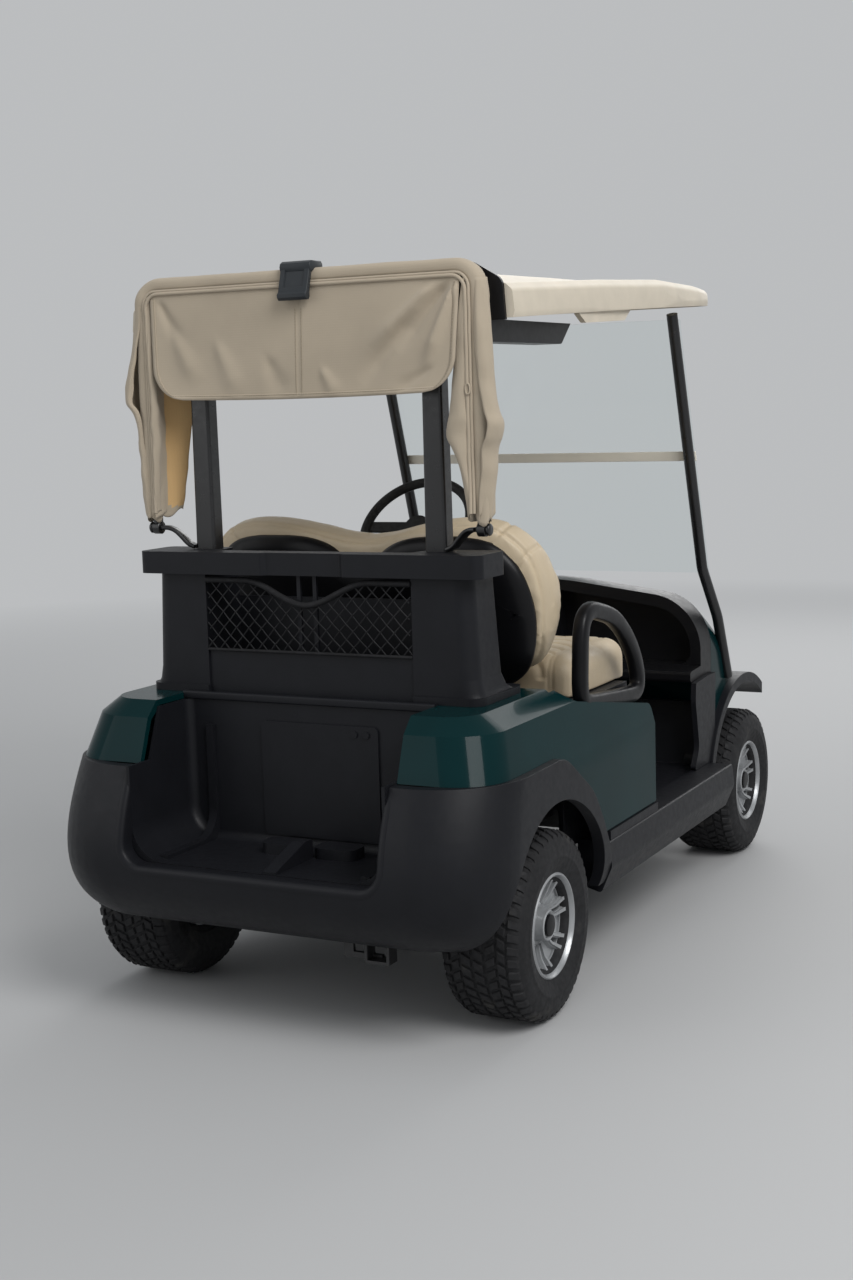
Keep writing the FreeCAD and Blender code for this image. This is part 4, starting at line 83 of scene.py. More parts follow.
class Graph:
    """A material's node tree, with short calls for the nodes that the finishes use."""

    def __init__(self, name: str) -> None:
        """Starts a material with an empty Principled shader.

        Args:
            name: The material's name.
        """
        self.material = bpy.data.materials.new(name)
        self.material.use_nodes = True
        self.tree = self.material.node_tree
        self.shader = self.tree.nodes["Principled BSDF"]
        self.place = self.tree.nodes.new("ShaderNodeTexCoord").outputs["Object"]

    def link(self, source: Socket, target: Socket) -> None:
        """Joins two sockets."""
        self.tree.links.new(source, target)

    def settle(self, **values: float | Sequence[float]) -> None:
        """Sets the shader's own sockets; an underscore in a name stands for a space."""
        for name, value in values.items():
            self.shader.inputs[name.replace("_", " ")].default_value = value

    def cloud(self, scale: float, detail: float = 3.0) -> Socket:
        """Noise from 0 to 1."""
        node = self.tree.nodes.new("ShaderNodeTexNoise")
        node.inputs["Scale"].default_value = scale
        node.inputs["Detail"].default_value = detail
        self.link(self.place, node.inputs["Vector"])
        return node.outputs["Fac"]

    def cells(self, scale: float) -> Socket:
        """Distance to the nearest cell's middle, for leather and moulded grain."""
        node = self.tree.nodes.new("ShaderNodeTexVoronoi")
        node.inputs["Scale"].default_value = scale
        self.link(self.place, node.inputs["Vector"])
        return node.outputs["Distance"]

    def threads(self, scale: float, axis: str) -> Socket:
        """Straight ribs across one axis."""
        node = self.tree.nodes.new("ShaderNodeTexWave")
        node.bands_direction = axis
        node.inputs["Scale"].default_value = scale
        self.link(self.place, node.inputs["Vector"])
        return node.outputs["Fac"]

    def spread(self, value: Socket, low: float, high: float, start: float = 0.3, end: float = 0.7) -> Socket:
        """Maps a value between start and end onto low to high."""
        node = self.tree.nodes.new("ShaderNodeMapRange")
        for name, number in (("From Min", start), ("From Max", end), ("To Min", low), ("To Max", high)):
            node.inputs[name].default_value = number
        self.link(value, node.inputs["Value"])
        return node.outputs["Result"]

    def joined(self, first: Socket, second: Socket, how: str = "ADD") -> Socket:
        """Two numbers through a Math node."""
        node = self.tree.nodes.new("ShaderNodeMath")
        node.operation = how
        self.link(first, node.inputs[0])
        self.link(second, node.inputs[1])
        return node.outputs["Value"]

    def colours(self, value: Socket, *stops: tuple[float, Colour]) -> Socket:
        """A colour ramp with the stops given as (place, colour)."""
        node = self.tree.nodes.new("ShaderNodeValToRGB")
        ramp = node.color_ramp
        while len(ramp.elements) < len(stops):
            ramp.elements.new(0.5)
        for element, (at, colour) in zip(ramp.elements, stops):
            element.position = at
            element.color = (*colour, 1.0)
        self.link(value, node.inputs["Fac"])
        return node.outputs["Color"]

    def bump(self, height: Socket, distance: float, strength: float = 1.0) -> None:
        """Adds a relief to the shader's normal, over any that is there."""
        node = self.tree.nodes.new("ShaderNodeBump")
        node.inputs["Distance"].default_value = distance
        node.inputs["Strength"].default_value = strength
        self.link(height, node.inputs["Height"])
        target = self.shader.inputs["Normal"]
        if target.links:
            self.link(target.links[0].from_socket, node.inputs["Normal"])
        self.link(node.outputs["Normal"], target)

    def wire(self, value: Socket, name: str) -> None:
        """Joins a value to one of the shader's sockets."""
        self.link(value, self.shader.inputs[name])


def shade(colour: Colour, factor: float) -> Colour:
    """A colour made darker or lighter."""
    return tuple(min(1.0, part * factor) for part in colour)


@dataclass(frozen=True)
class BodyPaint:
    """Deep glossy colour moulded into the body panels, under a clear coat."""

    name: str = "body_green"
    colour: Colour = (0.0017, 0.020, 0.022)
    dust: float = 0.06

    def build(self) -> bpy.types.Material:
        """Makes the material.

        Returns:
            The material, with slow waves in the coat and faint dust in its roughness.
        """
        graph = Graph(self.name)
        graph.settle(Coat_Weight=0.13, Coat_Roughness=0.05, Specular_IOR_Level=0.04)
        drift = graph.cloud(3.5)
        graph.wire(graph.colours(drift, (0.3, shade(self.colour, 0.88)), (0.7, shade(self.colour, 1.14))),
                   "Base Color")
        specks = graph.cloud(160.0, 4.0)
        graph.wire(graph.spread(specks, 0.16, 0.16 + self.dust), "Roughness")
        graph.bump(graph.cloud(9.0, 1.0), 0.0005, 0.15)
        return graph.material


@dataclass(frozen=True)
class MouldedPlastic:
    """Plain moulded plastic with a pressed grain."""

    name: str
    colour: Colour
    grain: Grain = Grain.FINE
    gloss: float = 0.5
    scuffs: float = 0.08

    def build(self) -> bpy.types.Material:
        """Makes the material.

        Returns:
            The material, with grain as bump and scuffs in its roughness and colour.
        """
        graph = Graph(self.name)
        graph.settle(Specular_IOR_Level=0.20)
        scale, height = self.grain.value
        scuff = graph.cloud(14.0, 6.0)
        graph.wire(graph.colours(scuff, (0.35, shade(self.colour, 1.0 - self.scuffs)), (0.55, self.colour),
                                 (0.75, shade(self.colour, 1.0 + self.scuffs))), "Base Color")
        graph.wire(graph.spread(graph.cloud(60.0, 5.0), self.gloss - 0.03, self.gloss + 0.06), "Roughness")
        graph.bump(graph.cells(scale), height, 0.6)
        graph.bump(graph.cloud(6.0, 2.0), 0.0006, 0.15)
        return graph.material


@dataclass(frozen=True)
class Canvas:
    """Woven canvas with a soft nap."""

    name: str
    colour: Colour
    thread_scale: float = 55.0

    def build(self) -> bpy.types.Material:
        """Makes the material.

        Returns:
            The material, with warp and weft as bump and sheen for its nap.
        """
        graph = Graph(self.name)
        graph.settle(Sheen_Weight=0.15, Sheen_Roughness=0.6, Specular_IOR_Level=0.2, Roughness=0.88)
        tone = graph.cloud(5.0, 4.0)
        graph.wire(graph.colours(tone, (0.3, shade(self.colour, 0.93)), (0.5, self.colour),
                                 (0.75, shade(self.colour, 1.05))), "Base Color")
        weave = graph.joined(graph.threads(self.thread_scale, "Z"), graph.threads(self.thread_scale, "X"),
                             "MULTIPLY")
        graph.bump(weave, 0.0003, 0.4)
        graph.bump(graph.cloud(16.0, 3.0), 0.002, 0.22)
        return graph.material


@dataclass(frozen=True)
class Vinyl:
    """Grained upholstery vinyl."""

    name: str
    colour: Colour

    def build(self) -> bpy.types.Material:
        """Makes the material.

        Returns:
            The material, with leather cells as bump and worn, darker patches.
        """
        graph = Graph(self.name)
        graph.settle(Specular_IOR_Level=0.4, Coat_Weight=0.08, Coat_Roughness=0.4)
        tone = graph.cloud(7.0, 5.0)
        graph.wire(graph.colours(tone, (0.3, shade(self.colour, 0.92)), (0.6, self.colour),
                                 (0.8, shade(self.colour, 1.04))), "Base Color")
        graph.wire(graph.spread(graph.cloud(45.0, 4.0), 0.36, 0.54), "Roughness")
        graph.bump(graph.cells(420.0), 0.0006, 0.5)
        graph.bump(graph.cloud(18.0, 3.0), 0.002, 0.15)
        return graph.material


@dataclass(frozen=True)
class Rubber:
    """Matt rubber with dust in patches."""

    name: str
    colour: Colour
    dusty: Colour = (0.07, 0.066, 0.058)

    def build(self) -> bpy.types.Material:
        """Makes the material.

        Returns:
            The material, dusty in patches and slightly rough.
        """
        graph = Graph(self.name)
        graph.settle(Specular_IOR_Level=0.35)
        patch = graph.cloud(11.0, 7.0)
        graph.wire(graph.colours(patch, (0.35, self.colour), (0.6, shade(self.colour, 1.5)), (0.82, self.dusty)),
                   "Base Color")
        graph.wire(graph.spread(graph.cloud(80.0, 3.0), 0.62, 0.86), "Roughness")
        graph.bump(graph.cloud(420.0, 3.0), 0.0006, 0.5)
        return graph.material


@dataclass(frozen=True)
class MetalPaint:
    """Paint or powder coat on metal; a high metallic share gives silver paint."""

    name: str
    colour: Colour
    metallic: float = 0.0
    gloss: float = 0.35
    relief: float = 0.0002

    def build(self) -> bpy.types.Material:
        """Makes the material.

        Returns:
            The material, with a slightly uneven coat.
        """
        graph = Graph(self.name)
        graph.settle(Metallic=self.metallic, Coat_Weight=0.2, Coat_Roughness=0.2)
        tone = graph.cloud(12.0, 5.0)
        graph.wire(graph.colours(tone, (0.3, shade(self.colour, 0.8)), (0.7, shade(self.colour, 1.12))),
                   "Base Color")
        graph.wire(graph.spread(graph.cloud(70.0, 4.0), self.gloss - 0.08, self.gloss + 0.1), "Roughness")
        graph.bump(graph.cloud(300.0, 2.0), self.relief, 0.4)
        return graph.material


@dataclass(frozen=True)
class ClearPane:
    """Clear polycarbonate with the faintest haze."""

    name: str = "clear_pane"
    tint: Colour = (0.93, 0.97, 0.97)

    def build(self) -> bpy.types.Material:
        """Makes the material.

        Returns:
            The material, clear with a hazy roughness.
        """
        graph = Graph(self.name)
        graph.settle(Base_Color=(*self.tint, 1.0), Transmission_Weight=1.0, IOR=1.15, Specular_IOR_Level=0.5)
        graph.wire(graph.spread(graph.cloud(5.0, 6.0), 0.0, 0.06), "Roughness")
        return graph.material


@dataclass
class Finishes:
    """Every finish on the cart, made once, by its record slot."""

    made: dict[str, bpy.types.Material] = field(default_factory=dict)

    def build(self) -> None:
        """Makes the materials."""
        for finish in (
            BodyPaint(),
            MouldedPlastic("charcoal_plastic", (0.0095, 0.0100, 0.0125), Grain.FINE, 0.42),
            MouldedPlastic("black_plastic", (0.006, 0.006, 0.007), Grain.SMOOTH, 0.34),
            MouldedPlastic("clasp_grey", (0.030, 0.034, 0.038), Grain.SMOOTH, 0.36),
            MouldedPlastic("canopy_beige", (0.64, 0.57, 0.46), Grain.SMOOTH, 0.42, 0.05),
            MouldedPlastic("strip_cream", (0.86, 0.81, 0.70), Grain.SMOOTH, 0.4, 0.03),
            Canvas("cover_fabric", (0.44, 0.37, 0.28)),
            Canvas("cover_lining", (0.66, 0.43, 0.20)),
            Canvas("cover_thread", (0.30, 0.25, 0.18)),
            Vinyl("seat_vinyl", (0.60, 0.49, 0.34)),
            MetalPaint("black_metal", (0.008, 0.008, 0.009), 0.0, 0.34),
            MetalPaint("frame_metal", (0.012, 0.012, 0.013), 0.0, 0.5),
            MetalPaint("axle_iron", (0.05, 0.048, 0.046), 0.4, 0.55, 0.0006),
            MetalPaint("wheel_silver", (0.40, 0.41, 0.42), 0.55, 0.36),
            # Darker grey that paints shade onto the floors of the wheel covers' narrow pockets.
            MetalPaint("pocket_painted_shade", (0.105, 0.110, 0.115), 0.4, 0.42),
            Rubber("tyre", (0.010, 0.010, 0.011)),
            Rubber("grip_rubber", (0.010, 0.010, 0.010), (0.03, 0.03, 0.03)),
            Rubber("net_black", (0.006, 0.006, 0.007), (0.02, 0.02, 0.02)),
            ClearPane(),
        ):
            self.made[finish.name] = finish.build()

    def give(self, name: str) -> bpy.types.Material:
        """The material of that name."""
        return self.made[name]


FINISH = Finishes()


# Tools for meshes.


def piece(name: str, mesh: bmesh.types.BMesh, finish: str, body: str, *replaced: str,
          smooth: float = 35.0) -> bpy.types.Object:
    """Turns a bmesh into a finished piece of the cart.

    Args:
        name: The piece's name.
        mesh: Its shape in the part's frame; it is freed.
        finish: The finish, which is also its record slot where the record has it.
        body: The body that it rides on.
        replaced: CAD nodes that it stands for.
        smooth: Angle in degrees below which edges are shaded smooth.

    Returns:
        The new object.
    """
    data = bpy.data.meshes.new(name)
    mesh.to_mesh(data)
    mesh.free()
    data.materials.append(FINISH.give(finish))
    data.set_sharp_from_angle(angle=math.radians(smooth))
    data.polygons.foreach_set("use_smooth", [True] * len(data.polygons))
    made = bpy.data.objects.new(name, data)
    bpy.context.scene.collection.objects.link(made)
    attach(made, body)
    if replaced:
        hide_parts(*replaced)
    return made


def outward(mesh: bmesh.types.BMesh) -> bmesh.types.BMesh:
    """Merges doubles and turns every face outwards."""
    bmesh.ops.remove_doubles(mesh, verts=mesh.verts, dist=1e-6)
    bmesh.ops.recalc_face_normals(mesh, faces=mesh.faces)
    return mesh


def ring(mesh: bmesh.types.BMesh, points: Iterable[Sequence[float]]) -> list[bmesh.types.BMEdge]:
    """A closed loop of edges through points."""
    verts = [mesh.verts.new(point) for point in points]
    return [mesh.edges.new((verts[i - 1], verts[i])) for i in range(len(verts))]


def skinned(mesh: bmesh.types.BMesh, loops: Sequence[Iterable[Sequence[float]]], capped: bool = True) -> None:
    """Bridges closed loops of equal length, one after another, and may close both ends."""
    rings = [ring(mesh, loop) for loop in loops]
    for first, second in zip(rings, rings[1:]):
        bmesh.ops.bridge_loops(mesh, edges=first + second)
    if capped:
        for end in (rings[0], rings[-1]):
            bmesh.ops.contextual_create(mesh, geom=end)


def swept(mesh: bmesh.types.BMesh, path: Sequence[Vector], section: Sequence[tuple[float, float]],
          up: Vector, closed: bool = False) -> None:
    """Carries a section along a path.

    Args:
        mesh: Where it is added.
        path: Points of the path.
        section: Points across it: first value sideways, second along up.
        up: Direction that stays up along the path.
        closed: Whether the path returns to its start.
    """
    count = len(path)
    loops = []
    for index, point in enumerate(path):
        before = path[index - 1] if closed or index else point
        after = path[(index + 1) % count] if closed or index < count - 1 else point
        along = (after - before).normalized()
        side = along.cross(up).normalized()
        above = side.cross(along)
        loops.append([point + side * u + above * v for u, v in section])
    if closed:
        loops.append(loops[0])
    skinned(mesh, loops, capped=not closed)


def round_section(radius: float, count: int) -> list[tuple[float, float]]:
    """A circle as a section for swept."""
    turns = [math.tau * step / count for step in range(count)]
    return [(radius * math.cos(turn), radius * math.sin(turn)) for turn in turns]


def oval_section(half_across: float, half_up: float, power: float, count: int) -> list[tuple[float, float]]:
    """A section between an ellipse and a rectangle.

    Args:
        half_across: Half its width.
        half_up: Half its height.
        power: 1 for an ellipse, and less for a squarer shape.
        count: How many points it has.

    Returns:
        Its points.
    """
    return [(half_across * math.copysign(abs(u) ** power, u), half_up * math.copysign(abs(v) ** power, v))
            for u, v in round_section(1.0, count)]


def lathed(mesh: bmesh.types.BMesh, profile: Sequence[tuple[float, float]], steps: int,
           closed: bool = True) -> None:
    """Spins a profile of (along X, radius) about the X axis."""
    verts = [mesh.verts.new((x, 0.0, radius)) for x, radius in profile]
    pairs = zip(verts, verts[1:] + verts[:1]) if closed else zip(verts, verts[1:])
    edges = [mesh.edges.new(pair) for pair in pairs]
    bmesh.ops.spin(mesh, geom=verts + edges, cent=(0, 0, 0), axis=(1, 0, 0), angle=math.tau, steps=steps,
                   use_merge=True)


def block(mesh: bmesh.types.BMesh, low: Sequence[float], high: Sequence[float]) -> None:
    """Adds a box between two corners."""
    verts = bmesh.ops.create_cube(mesh, size=1.0)["verts"]
    bmesh.ops.scale(mesh, vec=[b - a for a, b in zip(low, high)], verts=verts)
    bmesh.ops.translate(mesh, vec=[(a + b) / 2 for a, b in zip(low, high)], verts=verts)


def eased(mesh: bmesh.types.BMesh, edges: Sequence[bmesh.types.BMEdge], width: float,
          segments: int) -> dict[str, list]:
    """Rounds edges off and returns what the bevel made."""
    return bmesh.ops.bevel(mesh, geom=edges, offset=width, offset_type="OFFSET", segments=segments, profile=0.5,
                           affect="EDGES", material=-1)


def smooth_path(points: Sequence[Point], steps: int = 6, closed: bool = False) -> list[Vector]:
    """A soft curve through points.

    Args:
        points: What it goes through.
        steps: Pieces between two points.
        closed: Whether it returns to its start.

    Returns:
        The curve's points.
    """
    stops = [Vector(point) for point in points]
    count = len(stops)
    found = []
    for index in range(count if closed else count - 1):
        a = stops[index - 1] if closed or index else stops[0]
        b = stops[index]
        c = stops[(index + 1) % count]
        d = stops[(index + 2) % count] if closed or index + 2 < count else stops[-1]
        for step in range(steps):
            t = step / steps
            found.append(0.5 * ((2 * b) + (c - a) * t + (2 * a - 5 * b + 4 * c - d) * t * t
                                + (3 * b - a - 3 * c + d) * t ** 3))
    if not closed:
        found.append(stops[-1])
    return found


def modified(thing: bpy.types.Object, kind: str, **values: object) -> bpy.types.Modifier:
    """Adds a modifier and sets its values."""
    made = thing.modifiers.new(kind.title(), kind)
    for name, value in values.items():
        setattr(made, name, value)
    return made


# Studio and camera.


def shown(tree: bpy.types.NodeTree) -> Socket:
    """One for rays that show the surroundings themselves: camera, mirrored and seen through glass."""
    path = tree.nodes.new("ShaderNodeLightPath")
    value = path.outputs["Is Camera Ray"]
    for name in ("Is Glossy Ray", "Is Transmission Ray"):
        node = tree.nodes.new("ShaderNodeMath")
        node.operation = "MAXIMUM"
        tree.links.new(value, node.inputs[0])
        tree.links.new(path.outputs[name], node.inputs[1])
        value = node.outputs["Value"]
    return value


@dataclass
class Studio:
    """A plain pale floor that fades into an even backdrop, and soft lamps."""

    backdrop: Colour = (0.50, 0.51, 0.52)
    floor_colour: Colour = (0.50, 0.50, 0.50)
    sky_colour: Colour = (0.92, 0.96, 1.0)
    sky_strength: float = 0.42
    reach: float = 30.0
    fade: tuple[float, float] = (3.2, 9.0)
    lamps: tuple[tuple[str, Point, float, float], ...] = (
        # name, place, size, power
        ("key", (-4.5, 3.0, 5.5), 3.5, 300.0),
        ("fill", (4.5, 5.5, 3.5), 5.0, 70.0),
        ("front", (0.5, -6.0, 4.0), 5.0, 160.0),
    )

    def build(self) -> None:
        """Makes the floor, the lamps and the world."""
        mesh = bmesh.new()
        bmesh.ops.create_grid(mesh, x_segments=1, y_segments=1, size=self.reach)
        data = bpy.data.meshes.new("studio_floor")
        mesh.to_mesh(data)
        mesh.free()
        floor = bpy.data.objects.new("studio_floor", data)
        bpy.context.scene.collection.objects.link(floor)
        data.materials.append(self.floor_finish())
        for name, place, size, power in self.lamps:
            self.lamp(name, Vector(place), size, power)
        self.sky()

    def floor_finish(self) -> bpy.types.Material:
        """Makes the floor's material.

        Returns:
            The material, matt with the cart's shadow near by, and the backdrop's own tone far off.
        """
        graph = Graph("studio_floor")
        graph.settle(Base_Color=(*self.floor_colour, 1.0), Roughness=0.7, Specular_IOR_Level=0.25)
        graph.bump(graph.cloud(40.0, 3.0), 0.0004, 0.2)
        far = graph.tree.nodes.new("ShaderNodeVectorMath")
        far.operation = "LENGTH"
        graph.link(graph.place, far.inputs[0])
        share = graph.joined(graph.spread(far.outputs["Value"], 0.0, 1.0, *self.fade), shown(graph.tree),
                             "MULTIPLY")
        plain = graph.tree.nodes.new("ShaderNodeEmission")
        plain.inputs["Color"].default_value = (*self.backdrop, 1.0)
        mix = graph.tree.nodes.new("ShaderNodeMixShader")
        graph.link(share, mix.inputs["Fac"])
        graph.link(graph.shader.outputs["BSDF"], mix.inputs[1])
        graph.link(plain.outputs["Emission"], mix.inputs[2])
        graph.link(mix.outputs["Shader"], graph.tree.nodes["Material Output"].inputs["Surface"])
        return graph.material

    def lamp(self, name: str, place: Vector, size: float, power: float) -> None:
        """A square soft lamp that faces the cart's middle."""
        light = bpy.data.lights.new(name, "AREA")
        light.energy, light.size = power, size
        lamp = bpy.data.objects.new(name, light)
        lamp.location = place
        lamp.rotation_euler = (Vector((0.0, 0.0, 0.8)) - place).to_track_quat("-Z", "Y").to_euler()
        lamp.visible_transmission = False
        bpy.context.scene.collection.objects.link(lamp)

    def sky(self) -> None:
        """Even light from all round, and one plain pale tone behind the cart."""
        world = bpy.data.worlds.new("studio_sky")
        world.use_nodes = True
        tree = world.node_tree
        light = tree.nodes["Background"]
        light.inputs["Color"].default_value = (*self.sky_colour, 1.0)
        light.inputs["Strength"].default_value = self.sky_strength
        plain = tree.nodes.new("ShaderNodeBackground")
        plain.inputs["Color"].default_value = (*self.backdrop, 1.0)
        mix = tree.nodes.new("ShaderNodeMixShader")
        tree.links.new(shown(tree), mix.inputs["Fac"])
        tree.links.new(light.outputs["Background"], mix.inputs[1])
        tree.links.new(plain.outputs["Background"], mix.inputs[2])
        tree.links.new(mix.outputs["Shader"], tree.nodes["World Output"].inputs["Surface"])
        bpy.context.scene.world = world


@dataclass
class PhotoCamera:
    """The camera at the photograph's place and angle."""

    place: Point = (-2.177, 4.462, 1.450)
    yaw: float = 27.33
    pitch: float = -7.71
    roll: float = -1.75
    lens: float = 50.19

    def build(self) -> None:
        """Makes the camera and gives it to the scene."""
        yaw, pitch, roll = (math.radians(angle) for angle in (self.yaw, self.pitch, self.roll))
        ahead = Vector((math.sin(yaw) * math.cos(pitch), -math.cos(yaw) * math.cos(pitch), math.sin(pitch)))
        right = ahead.cross(Vector((0.0, 0.0, 1.0))).normalized()
        above = right.cross(ahead)
        across = right * math.cos(roll) + above * math.sin(roll)
        upward = above * math.cos(roll) - right * math.sin(roll)
        data = bpy.data.cameras.new("photo_camera")
        data.sensor_fit, data.sensor_height, data.lens = "VERTICAL", 36.0, self.lens
        data.clip_start, data.clip_end = 0.1, 100.0
        camera = bpy.data.objects.new("photo_camera", data)
        turn = Matrix((across, upward, -ahead)).transposed().to_4x4()
        camera.matrix_world = Matrix.Translation(self.place) @ turn
        bpy.context.scene.collection.objects.link(camera)
        bpy.context.scene.camera = camera


# Wheels.


@dataclass
class Wheel:
    """A road wheel: turf tyre with moulded blocks, and a silver spoked cover whose narrow pockets have floors
    painted a darker grey as shade.
    """

    end: str
    side: Side
    track: float
    axle: float
    radius: float = 0.225
    groove: float = 0.0055
    pitches: int = 46
    pairs: int = 7
    cover_radius: float = 0.1245
    hub_radius: float = 0.037
    waist: tuple[float, float, float] = (0.050, 0.080, 0.1105)
    bend: float = 0.07

    @property
    def body(self) -> str:
        """The body that the wheel turns on."""
        return f"wheel_{self.end}_{self.side.word}"

    def placed(self, mesh: bmesh.types.BMesh) -> bmesh.types.BMesh:
        """Moves a mesh made about the origin, outside towards +X, to this wheel's place."""
        sign = self.side.value
        bmesh.ops.scale(mesh, vec=(sign, 1.0, 1.0), verts=mesh.verts)
        bmesh.ops.translate(mesh, vec=(sign * self.track / 2, self.axle, self.radius), verts=mesh.verts)
        return outward(mesh)

    def carcass(self) -> bmesh.types.BMesh:
        """The tyre without its blocks.

        Returns:
            A closed ring with a rim guard and two fine rings on each sidewall.
        """
        crown = self.radius - self.groove
        half = (
            (0.062, 0.1015), (0.076, 0.1035), (0.082, 0.109), (0.0865, 0.118), (0.0905, 0.1195), (0.092, 0.124),
            (0.0925, 0.1255), (0.0985, 0.140), (0.1025, 0.152), (0.1045, 0.160), (0.105, 0.1615),
            (0.105, 0.166), (0.1042, 0.1675), (0.104, 0.180), (0.1015, 0.192), (0.096, 0.204),
            (0.0885, 0.2125), (0.080, crown - 0.003), (0.060, crown - 0.0008), (0.030, crown), (0.0, crown),
        )
        profile = list(half) + [(-x, r) for x, r in reversed(half[:-1])]
        mesh = bmesh.new()
        lathed(mesh, profile, 96)
        return mesh

    def blocks(self, mesh: bmesh.types.BMesh) -> None:
        """Adds the rows of tread blocks round the carcass."""
        pitch = math.tau / self.pitches
        rows = (
            # middle across, half width, half length, skew, phase, sunk at its outer side
            (0.0, 0.0125, 0.0105, 0.006, 0.0, 0.0),
            (0.0305, 0.0125, 0.0108, -0.006, 0.5, 0.0), (-0.0305, 0.0125, 0.0108, 0.006, 0.5, 0.0),
            (0.0575, 0.0105, 0.0112, 0.005, 0.0, 0.0015), (-0.0575, 0.0105, 0.0112, -0.005, 0.0, 0.0015),
            (0.0835, 0.0115, 0.0100, 0.002, 0.5, 0.0115), (-0.0835, 0.0115, 0.0100, -0.002, 0.5, 0.0115),
        )
        for middle, half_x, half_y, skew, phase, sunk in rows:
            made = bmesh.ops.create_cube(mesh, size=2.0)["verts"]
            for vert in made:
                across, along, high = vert.co
                outer = across * (1 if middle >= 0 else -1)
                drop = sunk * max(0.0, (outer + 1) / 2) if middle else 0.0
                top = self.radius - 0.0002 - drop if high > 0 else self.radius - self.groove - 0.004 - drop
                spread = 0.86 if high > 0 else 1.0
                vert.co = (middle + across * half_x * spread, along * half_y * spread + across * skew, top)
            edges = list(dict.fromkeys(
                edge for vert in made for edge in vert.link_edges
                if all(end.co.z > self.radius - self.groove - 0.003 - sunk for end in edge.verts)))
            grown = eased(mesh, edges, 0.0012, 1)
            geometry = self.island([face for vert in grown["verts"] for face in vert.link_faces])
            bmesh.ops.rotate(mesh, cent=(0, 0, 0), matrix=Matrix.Rotation(phase * pitch, 3, "X"),
                             verts=[item for item in geometry if isinstance(item, bmesh.types.BMVert)])
            bmesh.ops.spin(mesh, geom=geometry, cent=(0, 0, 0), axis=(1, 0, 0),
                           angle=math.tau * (self.pitches - 1) / self.pitches, steps=self.pitches - 1,
                           use_duplicate=True)

    @staticmethod
    def island(faces: Sequence[bmesh.types.BMFace]) -> list[Element]:
        """Everything joined to some faces, in the same order each run."""
        seen = dict.fromkeys(faces)
        queue = list(seen)
        while queue:
            for edge in queue.pop().edges:
                for other in edge.link_faces:
                    if other not in seen:
                        seen[other] = None
                        queue.append(other)
        verts = dict.fromkeys(vert for face in seen for vert in face.verts)
        edges = dict.fromkeys(edge for face in seen for edge in face.edges)
        return [*verts, *edges, *seen]

    def cover(self) -> bmesh.types.BMesh:
        """The silver cover: pairs of bent ribs from a hub to a thin ring, with pockets between them.

        Returns:
            The cover's mesh, outside towards +X; the narrow pockets' floors have the second material, a darker
            grey that paints shade into them.
        """
        mesh = bmesh.new()
        lip, outer, hub = 0.095, self.cover_radius, self.hub_radius
        profile = (
            (-0.078, 0.094), (-0.080, 0.101), (0.064, 0.101), (0.085, outer), (lip - 0.003, outer),
            (lip, outer - 0.003), (lip, outer - 0.0055), (0.091, outer - 0.0085), (0.084, 0.1130),
            (0.074, self.waist[2]), (0.060, self.waist[1]), (0.050, self.waist[0]), (0.052, hub + 0.004),
            (0.064, hub), (0.080, hub - 0.001), (0.0825, hub - 0.004), (0.078, hub - 0.010), (0.078, 0.0),
        )
        lathed(mesh, profile, self.pairs * 16, closed=False)
        bmesh.ops.remove_doubles(mesh, verts=mesh.verts, dist=1e-6)
        bmesh.ops.recalc_face_normals(mesh, faces=mesh.faces)
        ribs, narrow, wide = [], [], []
        for face in mesh.faces:
            middle = face.calc_center_median()
            reach = math.hypot(middle.y, middle.z)
            if not self.waist[0] < reach < self.waist[2] or middle.x < 0.05:
                continue
            slot = int((math.atan2(middle.z, middle.y) % math.tau) / math.tau * self.pairs * 16) % 16
            (ribs if slot in (0, 1, 5, 6) else narrow if slot in (2, 3, 4) else wide).append(face)
        waist = [vert for vert in mesh.verts if abs(math.hypot(vert.co.y, vert.co.z) - self.waist[1]) < 1e-4]
        bmesh.ops.rotate(mesh, cent=(0, 0, 0), matrix=Matrix.Rotation(self.bend, 3, "X"), verts=waist)
        for face in bmesh.ops.inset_region(mesh, faces=ribs, thickness=0.0014, depth=0.0060,
                                           use_even_offset=True)["faces"]:
            face.smooth = True
        for pockets, depth in ((wide, -0.0105), (narrow, -0.018)):
            bmesh.ops.inset_region(mesh, faces=pockets, thickness=0.0012, depth=0.0, use_even_offset=True)
            bmesh.ops.inset_region(mesh, faces=pockets, thickness=0.0015, depth=depth, use_even_offset=True)
        # The narrow pockets' floors get the second material, a darker grey painted in as shade.
        for face in narrow:
            face.material_index = 1
        return mesh

    def build(self) -> None:
        """Makes the tyre and the cover, and hangs both on the wheel's body."""
        tyre = self.carcass()
        self.blocks(tyre)
        piece(f"turf_{self.end}_{self.side.word}", self.placed(tyre), "tyre", self.body,
              f"tyre_{self.end}_{self.side.word}")
        cover = piece(f"spoked_{self.end}_{self.side.word}", self.placed(self.cover()), "wheel_silver", self.body,
                      f"rim_{self.end}_{self.side.word}", smooth=28.0)
        # Second material: darker grey painted on the narrow pockets' floors as shade.
        cover.data.materials.append(FINISH.give("pocket_painted_shade"))
        cap = bmesh.new()
        hub = self.hub_radius
        lathed(cap, ((0.078, hub - 0.0105), (0.0850, hub - 0.0115), (0.0860, hub - 0.014), (0.0860, 0.0)), 40,
               closed=False)
        piece(f"hub_cap_{self.end}_{self.side.word}", self.placed(cap), "black_plastic", self.body)


# Seats.


